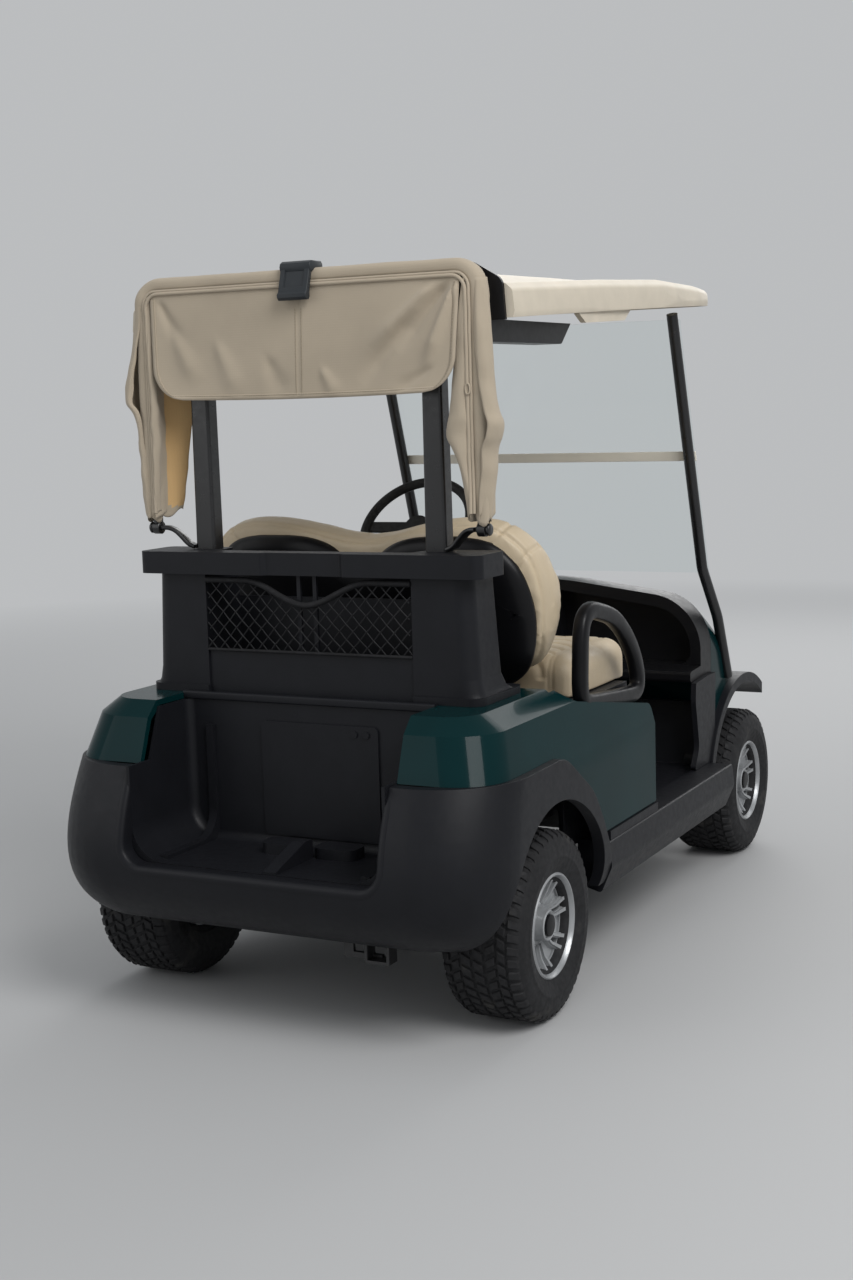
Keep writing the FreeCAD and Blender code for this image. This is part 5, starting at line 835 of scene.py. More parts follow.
@dataclass
class Stuffing:
    """How a cushion is blown up: it is remeshed, simulated as closed cloth, and each move is capped."""

    voxel: float = 0.009
    pressure: float = 4.0
    cap: float = 0.014
    frames: int = 20

    def fill(self, thing: bpy.types.Object) -> None:
        """Blows up a closed form in place.

        Args:
            thing: The cushion, as a closed form a little smaller than it should be.
        """
        modified(thing, "REMESH", mode="VOXEL", voxel_size=self.voxel)
        self.bake(thing)
        start = [vert.co.copy() for vert in thing.data.vertices]
        cloth = modified(thing, "CLOTH")
        cloth.settings.quality = 4
        cloth.settings.mass = 0.3
        cloth.settings.bending_stiffness = 0.8
        cloth.settings.use_pressure = True
        cloth.settings.uniform_pressure_force = self.pressure
        cloth.settings.effector_weights.gravity = 0.0
        cloth.point_cache.frame_start, cloth.point_cache.frame_end = 1, self.frames
        for number in range(1, self.frames + 1):
            bpy.context.scene.frame_set(number)
        self.bake(thing)
        bpy.context.scene.frame_set(1)
        for vert, old in zip(thing.data.vertices, start):
            move = vert.co - old
            if move.length > self.cap:
                vert.co = old + move.normalized() * self.cap

    @staticmethod
    def bake(thing: bpy.types.Object) -> None:
        """Turns what the modifiers give into the mesh itself."""
        bpy.context.view_layer.update()
        view = bpy.context.evaluated_depsgraph_get()
        made = bpy.data.meshes.new_from_object(thing.evaluated_get(view))
        old = thing.data
        thing.modifiers.clear()
        thing.data = made
        bpy.data.meshes.remove(old)


@dataclass
class Seam:
    """A sewn line that pulls the cover in, given by its distance function."""

    distance: Callable[[Vector], float]
    depth: float = 0.006
    width: float = 0.007

    def pull(self, point: Vector) -> float:
        """How far the cover is pulled in at a point."""
        away = self.distance(point) / self.width
        return self.depth * math.exp(-away * away) if away < 3.0 else 0.0


def sewn(thing: bpy.types.Object, seams: Sequence[Seam]) -> None:
    """Pulls a fine mesh in along its seams.

    Args:
        thing: The cushion.
        seams: Its sewn lines.
    """
    mesh = bmesh.new()
    mesh.from_mesh(thing.data)
    bmesh.ops.subdivide_edges(mesh, edges=mesh.edges, cuts=1, use_grid_fill=True, smooth=0.6)
    bmesh.ops.smooth_vert(mesh, verts=mesh.verts, factor=0.5, use_axis_x=True, use_axis_y=True, use_axis_z=True)
    mesh.normal_update()
    moves = [(vert, vert.normal * -sum(seam.pull(vert.co) for seam in seams)) for vert in mesh.verts]
    for vert, move in moves:
        vert.co += move
    mesh.to_mesh(thing.data)
    mesh.free()
    thing.data.polygons.foreach_set("use_smooth", [True] * len(thing.data.polygons))


@dataclass
class SeatBottom:
    """The bench cushion: plain ends, and a sewn insert with cross channels for each rider."""

    half: float = 0.478
    front: float = -0.028
    rear: float = 0.385
    base: float = 0.6905
    top: float = 0.790
    insert_half: float = 0.405
    seam_low: float = 0.712
    channels: tuple[float, ...] = (0.045, 0.105, 0.165, 0.225, 0.285, 0.345)

    def form(self) -> bmesh.types.BMesh:
        """A box with well rounded edges.

        Returns:
            The cushion before it is filled.
        """
        mesh = bmesh.new()
        block(mesh, (-self.half, self.front, self.base), (self.half, self.rear, self.top))
        upper = [edge for edge in mesh.edges if all(vert.co.z > self.top - 0.01 for vert in edge.verts)]
        uprights = [edge for edge in mesh.edges if abs(edge.verts[0].co.z - edge.verts[1].co.z) > 0.05]
        eased(mesh, upper + uprights, 0.042, 5)
        return outward(mesh)

    def seams(self) -> list[Seam]:
        """The channels of the insert and the lines round it.

        Returns:
            The seams.
        """
        found = []
        for station in self.channels:
            def channel(point: Vector, station: float = station) -> float:
                """Distance to a cross channel, which bends to the rear at its ends."""
                bent = station + 0.75 * max(0.0, abs(point.x) - self.insert_half + 0.060)
                inside = max(0.0, abs(point.x) - self.insert_half, 0.74 - point.z)
                return math.hypot(point.y - bent, inside * 3.0)
            found.append(Seam(channel, 0.007, 0.008))
        for edge in (self.insert_half, self.insert_half + 0.012):
            def border(point: Vector, edge: float = edge) -> float:
                """Distance to a line along the insert's end."""
                return max(abs(abs(point.x) - edge), self.seam_low - point.z)
            found.append(Seam(border, 0.0035, 0.0045))
        found.append(Seam(lambda point: max(abs(point.x), self.seam_low - point.z), 0.006, 0.007))
        return found

    def build(self) -> None:
        cushion = piece("bench_cushion", self.form(), "seat_vinyl", "chassis", "seat_bottom")
        Stuffing(cap=0.012).fill(cushion)
        for vert in cushion.data.vertices:
            vert.co.z = max(vert.co.z, self.base)
        sewn(cushion, self.seams())
        for vert in cushion.data.vertices:
            vert.co.z = max(vert.co.z, self.base)


@dataclass
class SeatBack:
    """The two-humped backrest: a deep vinyl cushion that wraps the rim of a smooth black shell."""

    half: float = 0.484
    top: float = 0.494
    dip: float = 0.452
    low: float = 0.086
    depth: float = 0.104
    belly: float = 0.050
    shell_top: float = 0.460
    shell_low: float = 0.034
    rake: float = 12.0
    foot: float = 0.402
    deck: float = 0.690

    @property
    def lean(self) -> Matrix:
        """The turn about the seat deck's line that leans the backrest."""
        return Matrix.Translation((0.0, self.foot, self.deck)) @ Matrix.Rotation(math.radians(-self.rake), 4, "X")

    @staticmethod
    def mirrored(right: Sequence[tuple[float, float]]) -> list[tuple[float, float]]:
        """A closed smooth outline from the points of its right half, which run from its foot to its dip."""
        curve = smooth_path([(x, 0.0, z) for x, z in right], 4)
        points = [(point.x, point.z) for point in curve]
        return points + [(-x, z) for x, z in reversed(points[1:-1])]

    def outline(self, shrink: float) -> list[tuple[float, float]]:
        """Front view of the cushion as (sideways, up), with two humps.

        Args:
            shrink: How far it is drawn in.

        Returns:
            The points, anticlockwise from the lower left.
        """
        half, top, dip, low = self.half - shrink, self.top - shrink, self.dip - shrink, self.low + shrink
        return self.mirrored((
            (0.0, low), (half * 0.5, low), (half - 0.110, low + 0.004), (half - 0.052, low + 0.026),
            (half - 0.016, low + 0.085), (half, low + 0.17), (half - 0.003, top - 0.15),
            (half - 0.026, top - 0.075), (half - 0.08, top - 0.022), (half - 0.15, top),
            (half - 0.24, top), (half - 0.33, top - 0.014), (0.070, dip + 0.009), (0.0, dip),
        ))

    def shell_outline(self, shrink: float) -> list[tuple[float, float]]:
        """Front view of the shell, whose dip is far deeper than the cushion's.

        Args:
            shrink: How far it is drawn in from its rim.

        Returns:
            The points, anticlockwise from the lower left.
        """
        half, top, low = self.half - 0.026 - shrink, self.shell_top - shrink, self.shell_low + shrink
        return self.mirrored((
            (0.0, low), (half * 0.5, low + 0.002), (half - 0.150, low + 0.014), (half - 0.070, low + 0.052),
            (half - 0.020, low + 0.115), (half, low + 0.20), (half - 0.004, top - 0.15),
            (half - 0.030, top - 0.075), (half - 0.085, top - 0.020), (half - 0.150, top - 0.002),
            (half * 0.50, top), (half * 0.36, top - 0.003), (half * 0.26, top - 0.012),
            (half * 0.18, top - 0.027), (half * 0.11, top - 0.050), (half * 0.05, top - 0.069), (0.0, top - 0.075),
        ))

    def leaned(self, mesh: bmesh.types.BMesh) -> bmesh.types.BMesh:
        """Leans a mesh made upright about the seat deck's line."""
        bmesh.ops.transform(mesh, matrix=self.lean, verts=mesh.verts)
        return mesh

    def fullness(self, height: float, depth: float) -> tuple[float, float]:
        """How thick the cushion is at a height, as a share, and how far it swells forward at a depth."""
        share = min(1.0, max(0.0, (height - self.low) / (self.top - self.low)))
        taper = min(1.0, 0.45 + (height - self.low) / 0.22)
        return taper, self.belly * math.sin(math.pi * share ** 0.9) ** 1.3 * (1.0 - depth / self.depth)

    def cushion(self) -> bmesh.types.BMesh:
        """The cushion's closed form: it swells forward at its middle and is thin at its lower edge.

        Returns:
            The mesh, leaned.
        """
        mesh = bmesh.new()
        first = 0.004
        stations = (
            # depth from the front, how far the outline is drawn in
            (first, 0.020), (0.018, 0.006), (0.045, 0.0), (0.080, 0.0), (0.098, 0.007), (self.depth, 0.018),
        )
        loops = []
        for depth, shrink in stations:
            loop = []
            for x, z in self.outline(shrink):
                taper, swell = self.fullness(z, depth)
                loop.append((x, first + (depth - first) * taper - swell, z))
            loops.append(loop)
        skinned(mesh, loops)
        return self.leaned(outward(mesh))

    def seams(self) -> list[Seam]:
        """The lines of the front insert, its channels, the side band's two edges and its joins.

        Returns:
            The seams.
        """
        upright = self.lean.inverted()
        found = [Seam(lambda point: self.rim_line(upright @ point, 0.018), 0.0062, 0.0048),
                 Seam(lambda point: self.rim_line(upright @ point, 0.090), 0.0058, 0.0048)]
        for height in (0.16, 0.22, 0.28, 0.34, 0.40):
            def channel(point: Vector, height: float = height) -> float:
                """Distance to a level channel of the insert."""
                flat = upright @ point
                if flat.y > 0.012:
                    return 1.0
                return math.hypot(flat.z - height, max(0.0, abs(flat.x) - 0.36) * 3.0)
            found.append(Seam(channel, 0.006, 0.008))
        for edge in (0.0, 0.365):
            def line(point: Vector, edge: float = edge) -> float:
                """Distance to an upright line of the insert."""
                flat = upright @ point
                return 1.0 if flat.y > 0.012 else abs(abs(flat.x) - edge)
            found.append(Seam(line, 0.005, 0.006))
        for across, height in ((0.372, 0.455), (0.430, 0.395)):
            def join(point: Vector, across: float = across, height: float = height) -> float:
                """Distance to a slanting join of the side band."""
                flat = upright @ point
                if flat.y < 0.010 or flat.z < 0.3:
                    return 1.0
                return abs((flat.z - height) - 1.1 * (abs(flat.x) - across)) / 1.49
            found.append(Seam(join, 0.0045, 0.005))
        return found

    def rim_line(self, flat: Vector, station: float) -> float:
        """Distance to a seam that runs round the cushion's side, some way back from its front."""
        taper, swell = self.fullness(flat.z, station)
        return abs(flat.y - station * taper + swell)

    def shell(self) -> bmesh.types.BMesh:
        """The moulded shell: its back is a smooth dish with a soft rim.

        Returns:
            The mesh, leaned.
        """
        mesh = bmesh.new()
        loops = []
        for depth, shrink in ((0.084, 0.004), (0.106, 0.0), (0.118, 0.002), (0.129, 0.010), (0.137, 0.024),
                              (0.142, 0.048), (0.144, 0.082)):
            loop = []
            for x, z in self.shell_outline(shrink):
                taper = min(1.0, 0.5 + (z - self.shell_low) / 0.24)
                rise = 0.0 if depth < 0.1 else (depth - 0.1)
                loop.append((x, 0.1 * taper + rise * 0.92 - (0.016 if depth < 0.1 else 0.0), z))
            loops.append(loop)
        skinned(mesh, loops)
        return self.leaned(outward(mesh))

    def build(self) -> None:
        """Makes the cushion and the shell."""
        cushion = piece("backrest_cushion", self.cushion(), "seat_vinyl", "chassis", "seat_back")
        Stuffing(cap=0.010).fill(cushion)
        sewn(cushion, self.seams())
        shell = piece("backrest_shell", self.shell(), "black_plastic", "chassis", "seat_shell", smooth=50.0)
        modified(shell, "SUBSURF", levels=1, render_levels=1)


@dataclass
class HipLoops:
    """The thick moulded loops beside the seat, each a rounded D."""

    middle: float = 0.526
    half_wide: float = 0.019
    half_thick: float = 0.0220
    course: tuple[tuple[float, float], ...] = (
        # along the cart, height
        (0.454, 0.735), (0.451, 0.800), (0.445, 0.858), (0.428, 0.899), (0.388, 0.917), (0.335, 0.910),
        (0.235, 0.882), (0.152, 0.832), (0.092, 0.772), (0.062, 0.717), (0.062, 0.683), (0.090, 0.666),
        (0.160, 0.668), (0.300, 0.680), (0.400, 0.690), (0.440, 0.702),
    )

    def build(self) -> None:
        """Makes both loops."""
        mesh = bmesh.new()
        section = oval_section(self.half_thick, self.half_wide, 0.7, 20)
        for side in Side:
            path = smooth_path([(side.value * self.middle, y, z) for y, z in self.course], 5, closed=True)
            swept(mesh, path, section, Vector((1.0, 0.0, 0.0)), closed=True)
        piece("hip_loops", outward(mesh), "black_plastic", "chassis", "hip_restraints", smooth=60.0)


@dataclass
class WellTrim:
    """The dark lip above the bag well, and the rounded lip round the bumper's mouth below it."""

    half: float = 0.3465
    front: float = 0.8757
    rear: float = 0.8905
    low: float = 0.7375
    high: float = 0.7575
    mouth: tuple[Point, ...] = (
        # the left half of the mouth's edge on the bumper's rear face, from its top
        (0.345, 1.1200, 0.606), (0.345, 1.1379, 0.571), (0.345, 1.1488, 0.5455), (0.345, 1.1579, 0.5214),
        (0.345, 1.1653, 0.4987), (0.345, 1.1713, 0.4773), (0.345, 1.1755, 0.4582), (0.345, 1.1788, 0.439),
        (0.3426, 1.1806, 0.4228), (0.3382, 1.1813, 0.4124), (0.3306, 1.1816, 0.4019), (0.3202, 1.1816, 0.3930),
        (0.3131, 1.1814, 0.3891), (0.298, 1.1812, 0.3846), (0.27, 1.1811, 0.384), (0.135, 1.1811, 0.384),
    )
    lip: tuple[tuple[float, float], ...] = (
        # into the mouth, towards the rear
        (-0.0120, -0.0040), (-0.0115, 0.0004), (-0.0060, 0.0018), (-0.0005, 0.0010), (0.0040, -0.0015),
        (0.0068, -0.0055), (0.0078, -0.0110), (0.0078, -0.0380), (0.0060, -0.0430), (-0.0040, -0.0440),
    )

    def well_lip(self) -> None:
        """Makes the bar that covers the shelf's edge."""
        mesh = bmesh.new()
        block(mesh, (-self.half, self.front, self.low), (self.half, self.rear, self.high))
        edges = [edge for edge in mesh.edges if abs(edge.verts[0].co.x - edge.verts[1].co.x) > self.half]
        eased(mesh, edges, 0.0045, 4)
        piece("bag_well_lip", outward(mesh), "charcoal_plastic", "chassis", smooth=50.0)

    def mouth_lip(self) -> None:
        """Makes the rounded strip along the mouth's sides and bottom."""
        right = [(-x, y, z) for x, y, z in self.mouth]
        path = smooth_path(right + [(0.0, self.mouth[-1][1], self.mouth[-1][2])] + list(self.mouth[::-1]), 3)
        mesh = bmesh.new()
        swept(mesh, path, self.lip, Vector((0.0, 1.0, 0.0)))
        piece("bumper_lip", outward(mesh), "charcoal_plastic", "chassis", smooth=50.0)

    def build(self) -> None:
        """Makes both lips."""
        self.well_lip()
        self.mouth_lip()


# Bag cover.


@dataclass
class Thread:
    """Stitches laid along a line in thick thread."""

    pitch: float = 0.0068
    length: float = 0.0046
    half: float = 0.0006

    def sew(self, mesh: bmesh.types.BMesh, path: Sequence[Vector]) -> None:
        """Adds stitches along a path.

        Args:
            mesh: Where they are added.
            path: The seam's line, on the cloth's surface.
        """
        travelled, due = 0.0, self.pitch / 2
        for start, end in zip(path, path[1:]):
            step = (end - start).length
            while step and due < travelled + step:
                middle = start.lerp(end, (due - travelled) / step)
                turn = (end - start).to_track_quat("X", "Y").to_matrix().to_4x4()
                size = Matrix.Diagonal((self.length, 2 * self.half, 2 * self.half, 1.0))
                bmesh.ops.create_cube(mesh, size=1.0, matrix=Matrix.Translation(middle) @ turn @ size)
                due += self.pitch
            travelled += step


@dataclass(frozen=True)
class CurtainRow:
    """One height of a side curtain: how far each of its folds reaches from the cart's middle."""

    z: float
    lining: float
    fold: float
    outer: float
    rear: float

    def points(self, seed: float) -> list[Point]:
        """The curtain's course round the bow's arm, from its lined inner edge to its outer fold.

        Args:
            seed: Start of its wrinkles.

        Returns:
            Points with the distance from the cart's middle as their first value.
        """
        course = (
            (self.lining, 0.757), ((self.lining + 0.424) / 2, 0.777), (0.424, 0.794),
            (self.fold + 0.008, 0.824), (self.fold, self.rear - 0.008), ((self.fold + 0.431) / 2, self.rear),
            (0.4295, 0.846), (0.4275, 0.812), (0.438, 0.791), (0.462, 0.785), (self.outer - 0.012, 0.797),
            (self.outer, 0.822), (self.outer - 0.005, self.rear - 0.012), (self.outer - 0.019, self.rear - 0.003),
            (self.outer - 0.027, self.rear - 0.009),
        )
        found = []
        for place, (x, y) in enumerate(course):
            loose = 0.0 if place in (6, 7, 8, 9) else 0.0058
            stir = noise.noise_vector(Vector((place * 0.7 + seed, self.z * 8.0, seed)))
            found.append((x + loose * stir.x, y + loose * stir.y, self.z))
        return found


@dataclass
class BagCover:
    """The folding canvas cover: sleeve over the bow, bound edge, hanging flap, curtains and clasp."""

    half: float = 0.418
    flap_top: float = 1.7185
    flap_bottom: float = 1.463
    flap_y: float = 0.845
    corner: float = 0.078
    bow_y: float = 0.818
    bow_z: float = 1.742
    bow_half: float = 0.446
    bow_radius: float = 0.012
    bow_corner: float = 0.060
    pivot_z: float = 1.152
    cloth: float = 0.0016
    sleeve_half: float = 0.452
    sleeve_y: float = 0.8225
    sleeve_low: float = 1.172
    sleeve_deep: float = 0.020
    slit: float = -80.0
    wrap: float = 340.0
    clasp_half: float = 0.041
    eye: tuple[tuple[float, float], ...] = (
        # along the pivot's pin, radius
        (-0.010, 0.0078), (0.010, 0.0078), (0.010, 0.0150), (0.009, 0.0160), (-0.009, 0.0160), (-0.010, 0.0150),
    )
    creases: tuple[tuple[float, float, float, float, float, float], ...] = (
        # across and height of both ends, depth, width
        (-0.408, 1.705, -0.330, 1.520, 0.0120, 0.013), (-0.395, 1.712, -0.255, 1.560, -0.0110, 0.016),
        (-0.360, 1.708, -0.190, 1.570, 0.0090, 0.015), (-0.300, 1.640, -0.160, 1.490, -0.0080, 0.020),
        (0.360, 1.640, 0.285, 1.500, 0.0060, 0.022), (0.230, 1.600, 0.165, 1.470, 0.0055, 0.026),
        (0.090, 1.560, 0.040, 1.465, -0.0050, 0.024), (-0.060, 1.530, -0.100, 1.465, 0.0055, 0.016),
        (-0.350, 1.520, -0.250, 1.470, -0.0050, 0.014), (0.395, 1.705, 0.330, 1.590, -0.0070, 0.015),
    )
    left_rows: tuple[CurtainRow, ...] = (
        CurtainRow(1.712, 0.420, 0.424, 0.472, 0.846), CurtainRow(1.640, 0.398, 0.419, 0.480, 0.850),
        CurtainRow(1.560, 0.381, 0.415, 0.496, 0.854), CurtainRow(1.500, 0.373, 0.412, 0.509, 0.856),
        CurtainRow(1.462, 0.369, 0.412, 0.510, 0.858), CurtainRow(1.432, 0.370, 0.412, 0.490, 0.856),
        CurtainRow(1.360, 0.379, 0.414, 0.485, 0.852), CurtainRow(1.280, 0.392, 0.418, 0.481, 0.850),
        CurtainRow(1.220, 0.404, 0.421, 0.477, 0.847), CurtainRow(1.186, 0.411, 0.424, 0.473, 0.844),
    )
    right_rows: tuple[CurtainRow, ...] = (
        CurtainRow(1.712, 0.424, 0.422, 0.474, 0.846), CurtainRow(1.640, 0.420, 0.413, 0.476, 0.850),
        CurtainRow(1.560, 0.416, 0.402, 0.479, 0.852), CurtainRow(1.480, 0.412, 0.390, 0.484, 0.854),
        CurtainRow(1.420, 0.412, 0.381, 0.496, 0.856), CurtainRow(1.392, 0.412, 0.376, 0.506, 0.858),
        CurtainRow(1.362, 0.414, 0.375, 0.500, 0.857), CurtainRow(1.335, 0.414, 0.388, 0.489, 0.856),
        CurtainRow(1.285, 0.416, 0.410, 0.486, 0.854), CurtainRow(1.230, 0.420, 0.418, 0.476, 0.850),
        CurtainRow(1.180, 0.424, 0.420, 0.468, 0.844),
    )

    def hoop(self, half: float, top: float, low: float, y: float, corner: float, step: float = 0.008
             ) -> list[Vector]:
        """An upside-down U round the bow.

        Args:
            half: Half its width.
            top: Height of its straight top.
            low: Height of its two ends.
            y: Where it stands along the cart.
            corner: Radius of its two bends.
            step: Distance between its points.

        Returns:
            Its points, from the right end over the top to the left end.
        """
        count = max(1, round((top - corner - low) / step))
        arm = [Vector((half, y, low + (top - corner - low) * i / count)) for i in range(count)]
        turns = max(4, round(corner * math.pi / 2 / step))
        bend = [Vector((half - corner + corner * math.cos(math.pi / 2 * i / turns), y,
                        top - corner + corner * math.sin(math.pi / 2 * i / turns))) for i in range(turns)]
        count = round((half - corner) / step)
        across = [Vector(((half - corner) * (1 - i / count), y, top)) for i in range(count + 1)]
        left = arm + bend + across
        return [Vector((-point.x, point.y, point.z)) for point in left] + left[-2::-1]

    def flap_point(self, u: float, v: float) -> Vector:
        """Where a point of the flap hangs.

        Args:
            u: From -1 to 1 across the flap.
            v: From 0 at its top to 1 at its bottom.

        Returns:
            The point in the part's frame.
        """
        drop = v * (self.flap_top - self.flap_bottom)
        left = (self.flap_top - self.flap_bottom) - drop
        half = self.half - 0.014 * v
        if left < self.corner:
            half -= self.corner - math.sqrt(max(0.0, self.corner ** 2 - (self.corner - left) ** 2))
        x, z = u * half, self.flap_top - drop
        relief = 0.004 * v * math.sin(x * 15.0 + 0.6)
        for x0, z0, x1, z1, depth, width in self.creases:
            along = Vector((x1 - x0, z1 - z0))
            reach = along.length
            along.normalize()
            way = Vector((x - x0, z - z0))
            part = max(0.0, min(reach, way.dot(along)))
            away = (way - along * part).length / (width * (0.45 + 0.9 * part / reach))
            share = part / reach
            relief += 1.2 * depth * math.exp(-away * away) * min(1.0, 0.25 + 4.0 * share, 3.0 * (1.04 - share))
        relief += 0.0035 * v ** 0.5 * noise.noise(Vector((x * 7.0, 0.0, drop * 8.0)))
        relief -= 0.0022 * math.exp(-(x / 0.0035) ** 2)
        swing = 0.010 * v + 0.008 * abs(u) ** 4 * v
        hold = min(1.0, v * 9.0)
        return Vector((x, self.flap_y + swing + relief * hold, z - 0.005 * (1 - u * u) * v))

    def flap(self) -> bpy.types.Object:
        """Makes the hanging flap."""
        mesh = bmesh.new()
        bmesh.ops.create_grid(mesh, x_segments=150, y_segments=46, size=1.0)
        for vert in mesh.verts:
            vert.co = self.flap_point(vert.co.x, (1.0 - vert.co.y) / 2.0)
        bmesh.ops.recalc_face_normals(mesh, faces=mesh.faces)
        made = piece("cover_flap_cloth", mesh, "cover_fabric", "cover", "cover_flap", smooth=60.0)
        modified(made, "SOLIDIFY", thickness=self.cloth, offset=0.0)
        return made

    def rim(self, inset: float, lift: float) -> list[Vector]:
        """A line along the flap's free edges.

        Args:
            inset: Its distance from the edge.
            lift: How far it stands off the cloth towards the rear.

        Returns:
            Its points, from the upper right round the bottom to the upper left.
        """
        tall = self.flap_top - self.flap_bottom
        side, low = 1.0 - inset / self.half, 1.0 - inset / tall
        places = [(-side, v / 60 * low) for v in range(3, 60)]
        places += [(side * (u / 50 - 1.0), low) for u in range(0, 101)]
        places += [(side, v / 60 * low) for v in range(59, 2, -1)]
        found = []
        for u, v in places:
            point = self.flap_point(u, v)
            point.y += lift
            found.append(point)
        return found

    def hem(self) -> bpy.types.Object:
        """Makes the doubled hem along the flap's free edges."""
        mesh = bmesh.new()
        edges = []
        for line in (self.rim(0.0, 0.0010), self.rim(0.013, 0.0010)):
            verts = [mesh.verts.new(point) for point in line]
            edges += [mesh.edges.new(pair) for pair in zip(verts, verts[1:])]
        bmesh.ops.bridge_loops(mesh, edges=edges)
        bmesh.ops.recalc_face_normals(mesh, faces=mesh.faces)
        made = piece("cover_flap_hem", mesh, "cover_fabric", "cover", smooth=60.0)
        modified(made, "SOLIDIFY", thickness=0.0022, offset=0.0)
        return made

    def flap_stitches(self) -> bpy.types.Object:
        """Makes the stitches of the flap's hem and of its middle seam."""
        mesh = bmesh.new()
        thread = Thread()
        thread.sew(mesh, self.rim(0.0105, 0.0024))
        for x in (-0.008, 0.008):
            seam = [self.flap_point(x / self.half, 0.2 + 0.75 * step / 60) for step in range(61)]
            thread.sew(mesh, [point + Vector((0.0, 0.0012, 0.0)) for point in seam])
        return piece("cover_flap_stitches", mesh, "cover_thread", "cover")

    def sleeve(self) -> bpy.types.Object:
        """Makes the sleeve that the bow runs in, slit along its front.

        Returns:
            The sleeve, a strip of canvas bent round the bow.
        """
        path = self.hoop(self.sleeve_half, self.bow_z - 0.0015, self.sleeve_low, self.sleeve_y, 0.052)
        mesh = bmesh.new()
        bmesh.ops.create_grid(mesh, x_segments=len(path) - 1, y_segments=30, size=1.0)
        for vert in mesh.verts:
            place = round((vert.co.x + 1.0) / 2.0 * (len(path) - 1))
            turn = math.radians(self.slit + self.wrap * (vert.co.y + 1.0) / 2.0)
            along = (path[min(place + 1, len(path) - 1)] - path[max(place - 1, 0)]).normalized()
            out = Vector((0.0, 1.0, 0.0)).cross(along)
            level = abs(along.x)
            bend = 4.0 * level * (1.0 - level)
            wide = 0.0215 - 0.0045 * level
            side, back = math.cos(turn), math.sin(turn)
            side = math.copysign(abs(side) ** 0.75, side)
            back = math.copysign(abs(back) ** 0.75, back)
            stir = noise.noise(Vector((path[place].x * 9.0, path[place].z * 6.0, turn * 0.9)))
            fold = noise.noise(Vector((path[place].x * 30.0, path[place].z * 30.0, turn * 0.5)))
            puff = 1.0 + 0.045 * stir + (0.03 + 0.14 * bend) * fold * (1.0 if side < 0.3 else 0.5)
            tail = max(0.0, 1.0 - (path[place].z - self.sleeve_low) / 0.06)
            puff *= 1.0 - 0.22 * tail
            vert.co = path[place] + out * (wide * side * puff) + Vector((0.0, self.sleeve_deep * back * puff, 0.0))
            vert.co.z += 0.012 * tail * math.sin(turn * 2.0 + 1.0) * (1.0 if path[place].x < 0 else -0.6)
        bmesh.ops.recalc_face_normals(mesh, faces=mesh.faces)
        made = piece("cover_sleeve", mesh, "cover_fabric", "cover", smooth=60.0)
        modified(made, "SOLIDIFY", thickness=self.cloth, offset=0.0)
        return made

    def binding(self) -> bpy.types.Object:
        """Makes the two bound edges that run side by side along the sleeve."""
        mesh = bmesh.new()
        for half, top, radius, y in ((0.4385, 1.7255, 0.0036, 0.8455), (0.4310, 1.7190, 0.0044, 0.8480)):
            path = self.hoop(half, top, self.sleeve_low + 0.018, y, 0.034)
            for point in path:
                point.y += 0.0012 * noise.noise(point * 22.0)
                point.x += 0.0010 * noise.noise(point * 17.0 + Vector((5.0, 0.0, 0.0)))
            swept(mesh, path, round_section(radius, 10), Vector((0.0, 1.0, 0.0)))
        loop = [Vector((-0.4335 + 0.0055 * u, 0.8525, 1.468 + 0.012 * v)) for u, v in round_section(1.0, 20)]
        swept(mesh, loop, round_section(0.0024, 8), Vector((0.0, 1.0, 0.0)), closed=True)
        return piece("cover_binding", outward(mesh), "cover_fabric", "cover", smooth=60.0)

    def curtain(self, side: Side, rows: Sequence[CurtainRow]) -> bpy.types.Object:
        """Makes one gathered curtain, lined along its inner edge.

        Args:
            side: Which one.
            rows: Its course at each height, from the top.

        Returns:
            The curtain.
        """
        seed = 3.0 + side.value
        levels = [smooth_path(row.points(seed), 5) for row in rows]
        columns = [smooth_path(column, 5) for column in zip(*levels)]
        wide, tall = len(columns) - 1, len(columns[0]) - 1
        mesh = bmesh.new()
        bmesh.ops.create_grid(mesh, x_segments=wide, y_segments=tall, size=1.0)
        for vert in mesh.verts:
            column = round((vert.co.x + 1.0) / 2.0 * wide)
            level = round((1.0 - vert.co.y) / 2.0 * tall)
            place = columns[column][level]
            ripple = 0.0026 * noise.noise(place * 26.0)
            hang = 0.010 * (level / tall) ** 6 * math.sin(column * 0.35 + seed)
            vert.co = (side.value * (place.x + ripple), place.y + ripple, place.z - hang)
        bmesh.ops.recalc_face_normals(mesh, faces=mesh.faces)
        for face in mesh.faces:
            middle = face.calc_center_median()
            if middle.y < 0.800 and abs(middle.x) < 0.428 and middle.z > rows[-1].z + 0.016:
                face.material_index = 1
        made = piece(f"cover_curtain_{side.word}", mesh, "cover_fabric", "cover", smooth=60.0)
        made.data.materials.append(FINISH.give("cover_lining"))
        modified(made, "SOLIDIFY", thickness=self.cloth, offset=0.0)
        return made

    def bow(self) -> bpy.types.Object:
        """Makes the bow's tube with the eyes at its two ends."""
        mesh = bmesh.new()
        path = self.hoop(self.bow_half, self.bow_z, self.pivot_z, self.bow_y, self.bow_corner)
        swept(mesh, path, round_section(self.bow_radius, 16), Vector((0.0, 1.0, 0.0)))
        for side in Side:
            lathed(mesh, self.eye, 32)
            eye = [vert for vert in mesh.verts if vert.co.length < 0.03]
            bmesh.ops.translate(mesh, vec=(side.value * self.bow_half, self.bow_y, self.pivot_z), verts=eye)
        return piece("cover_bow_tube", outward(mesh), "black_metal", "cover", "cover_bow")

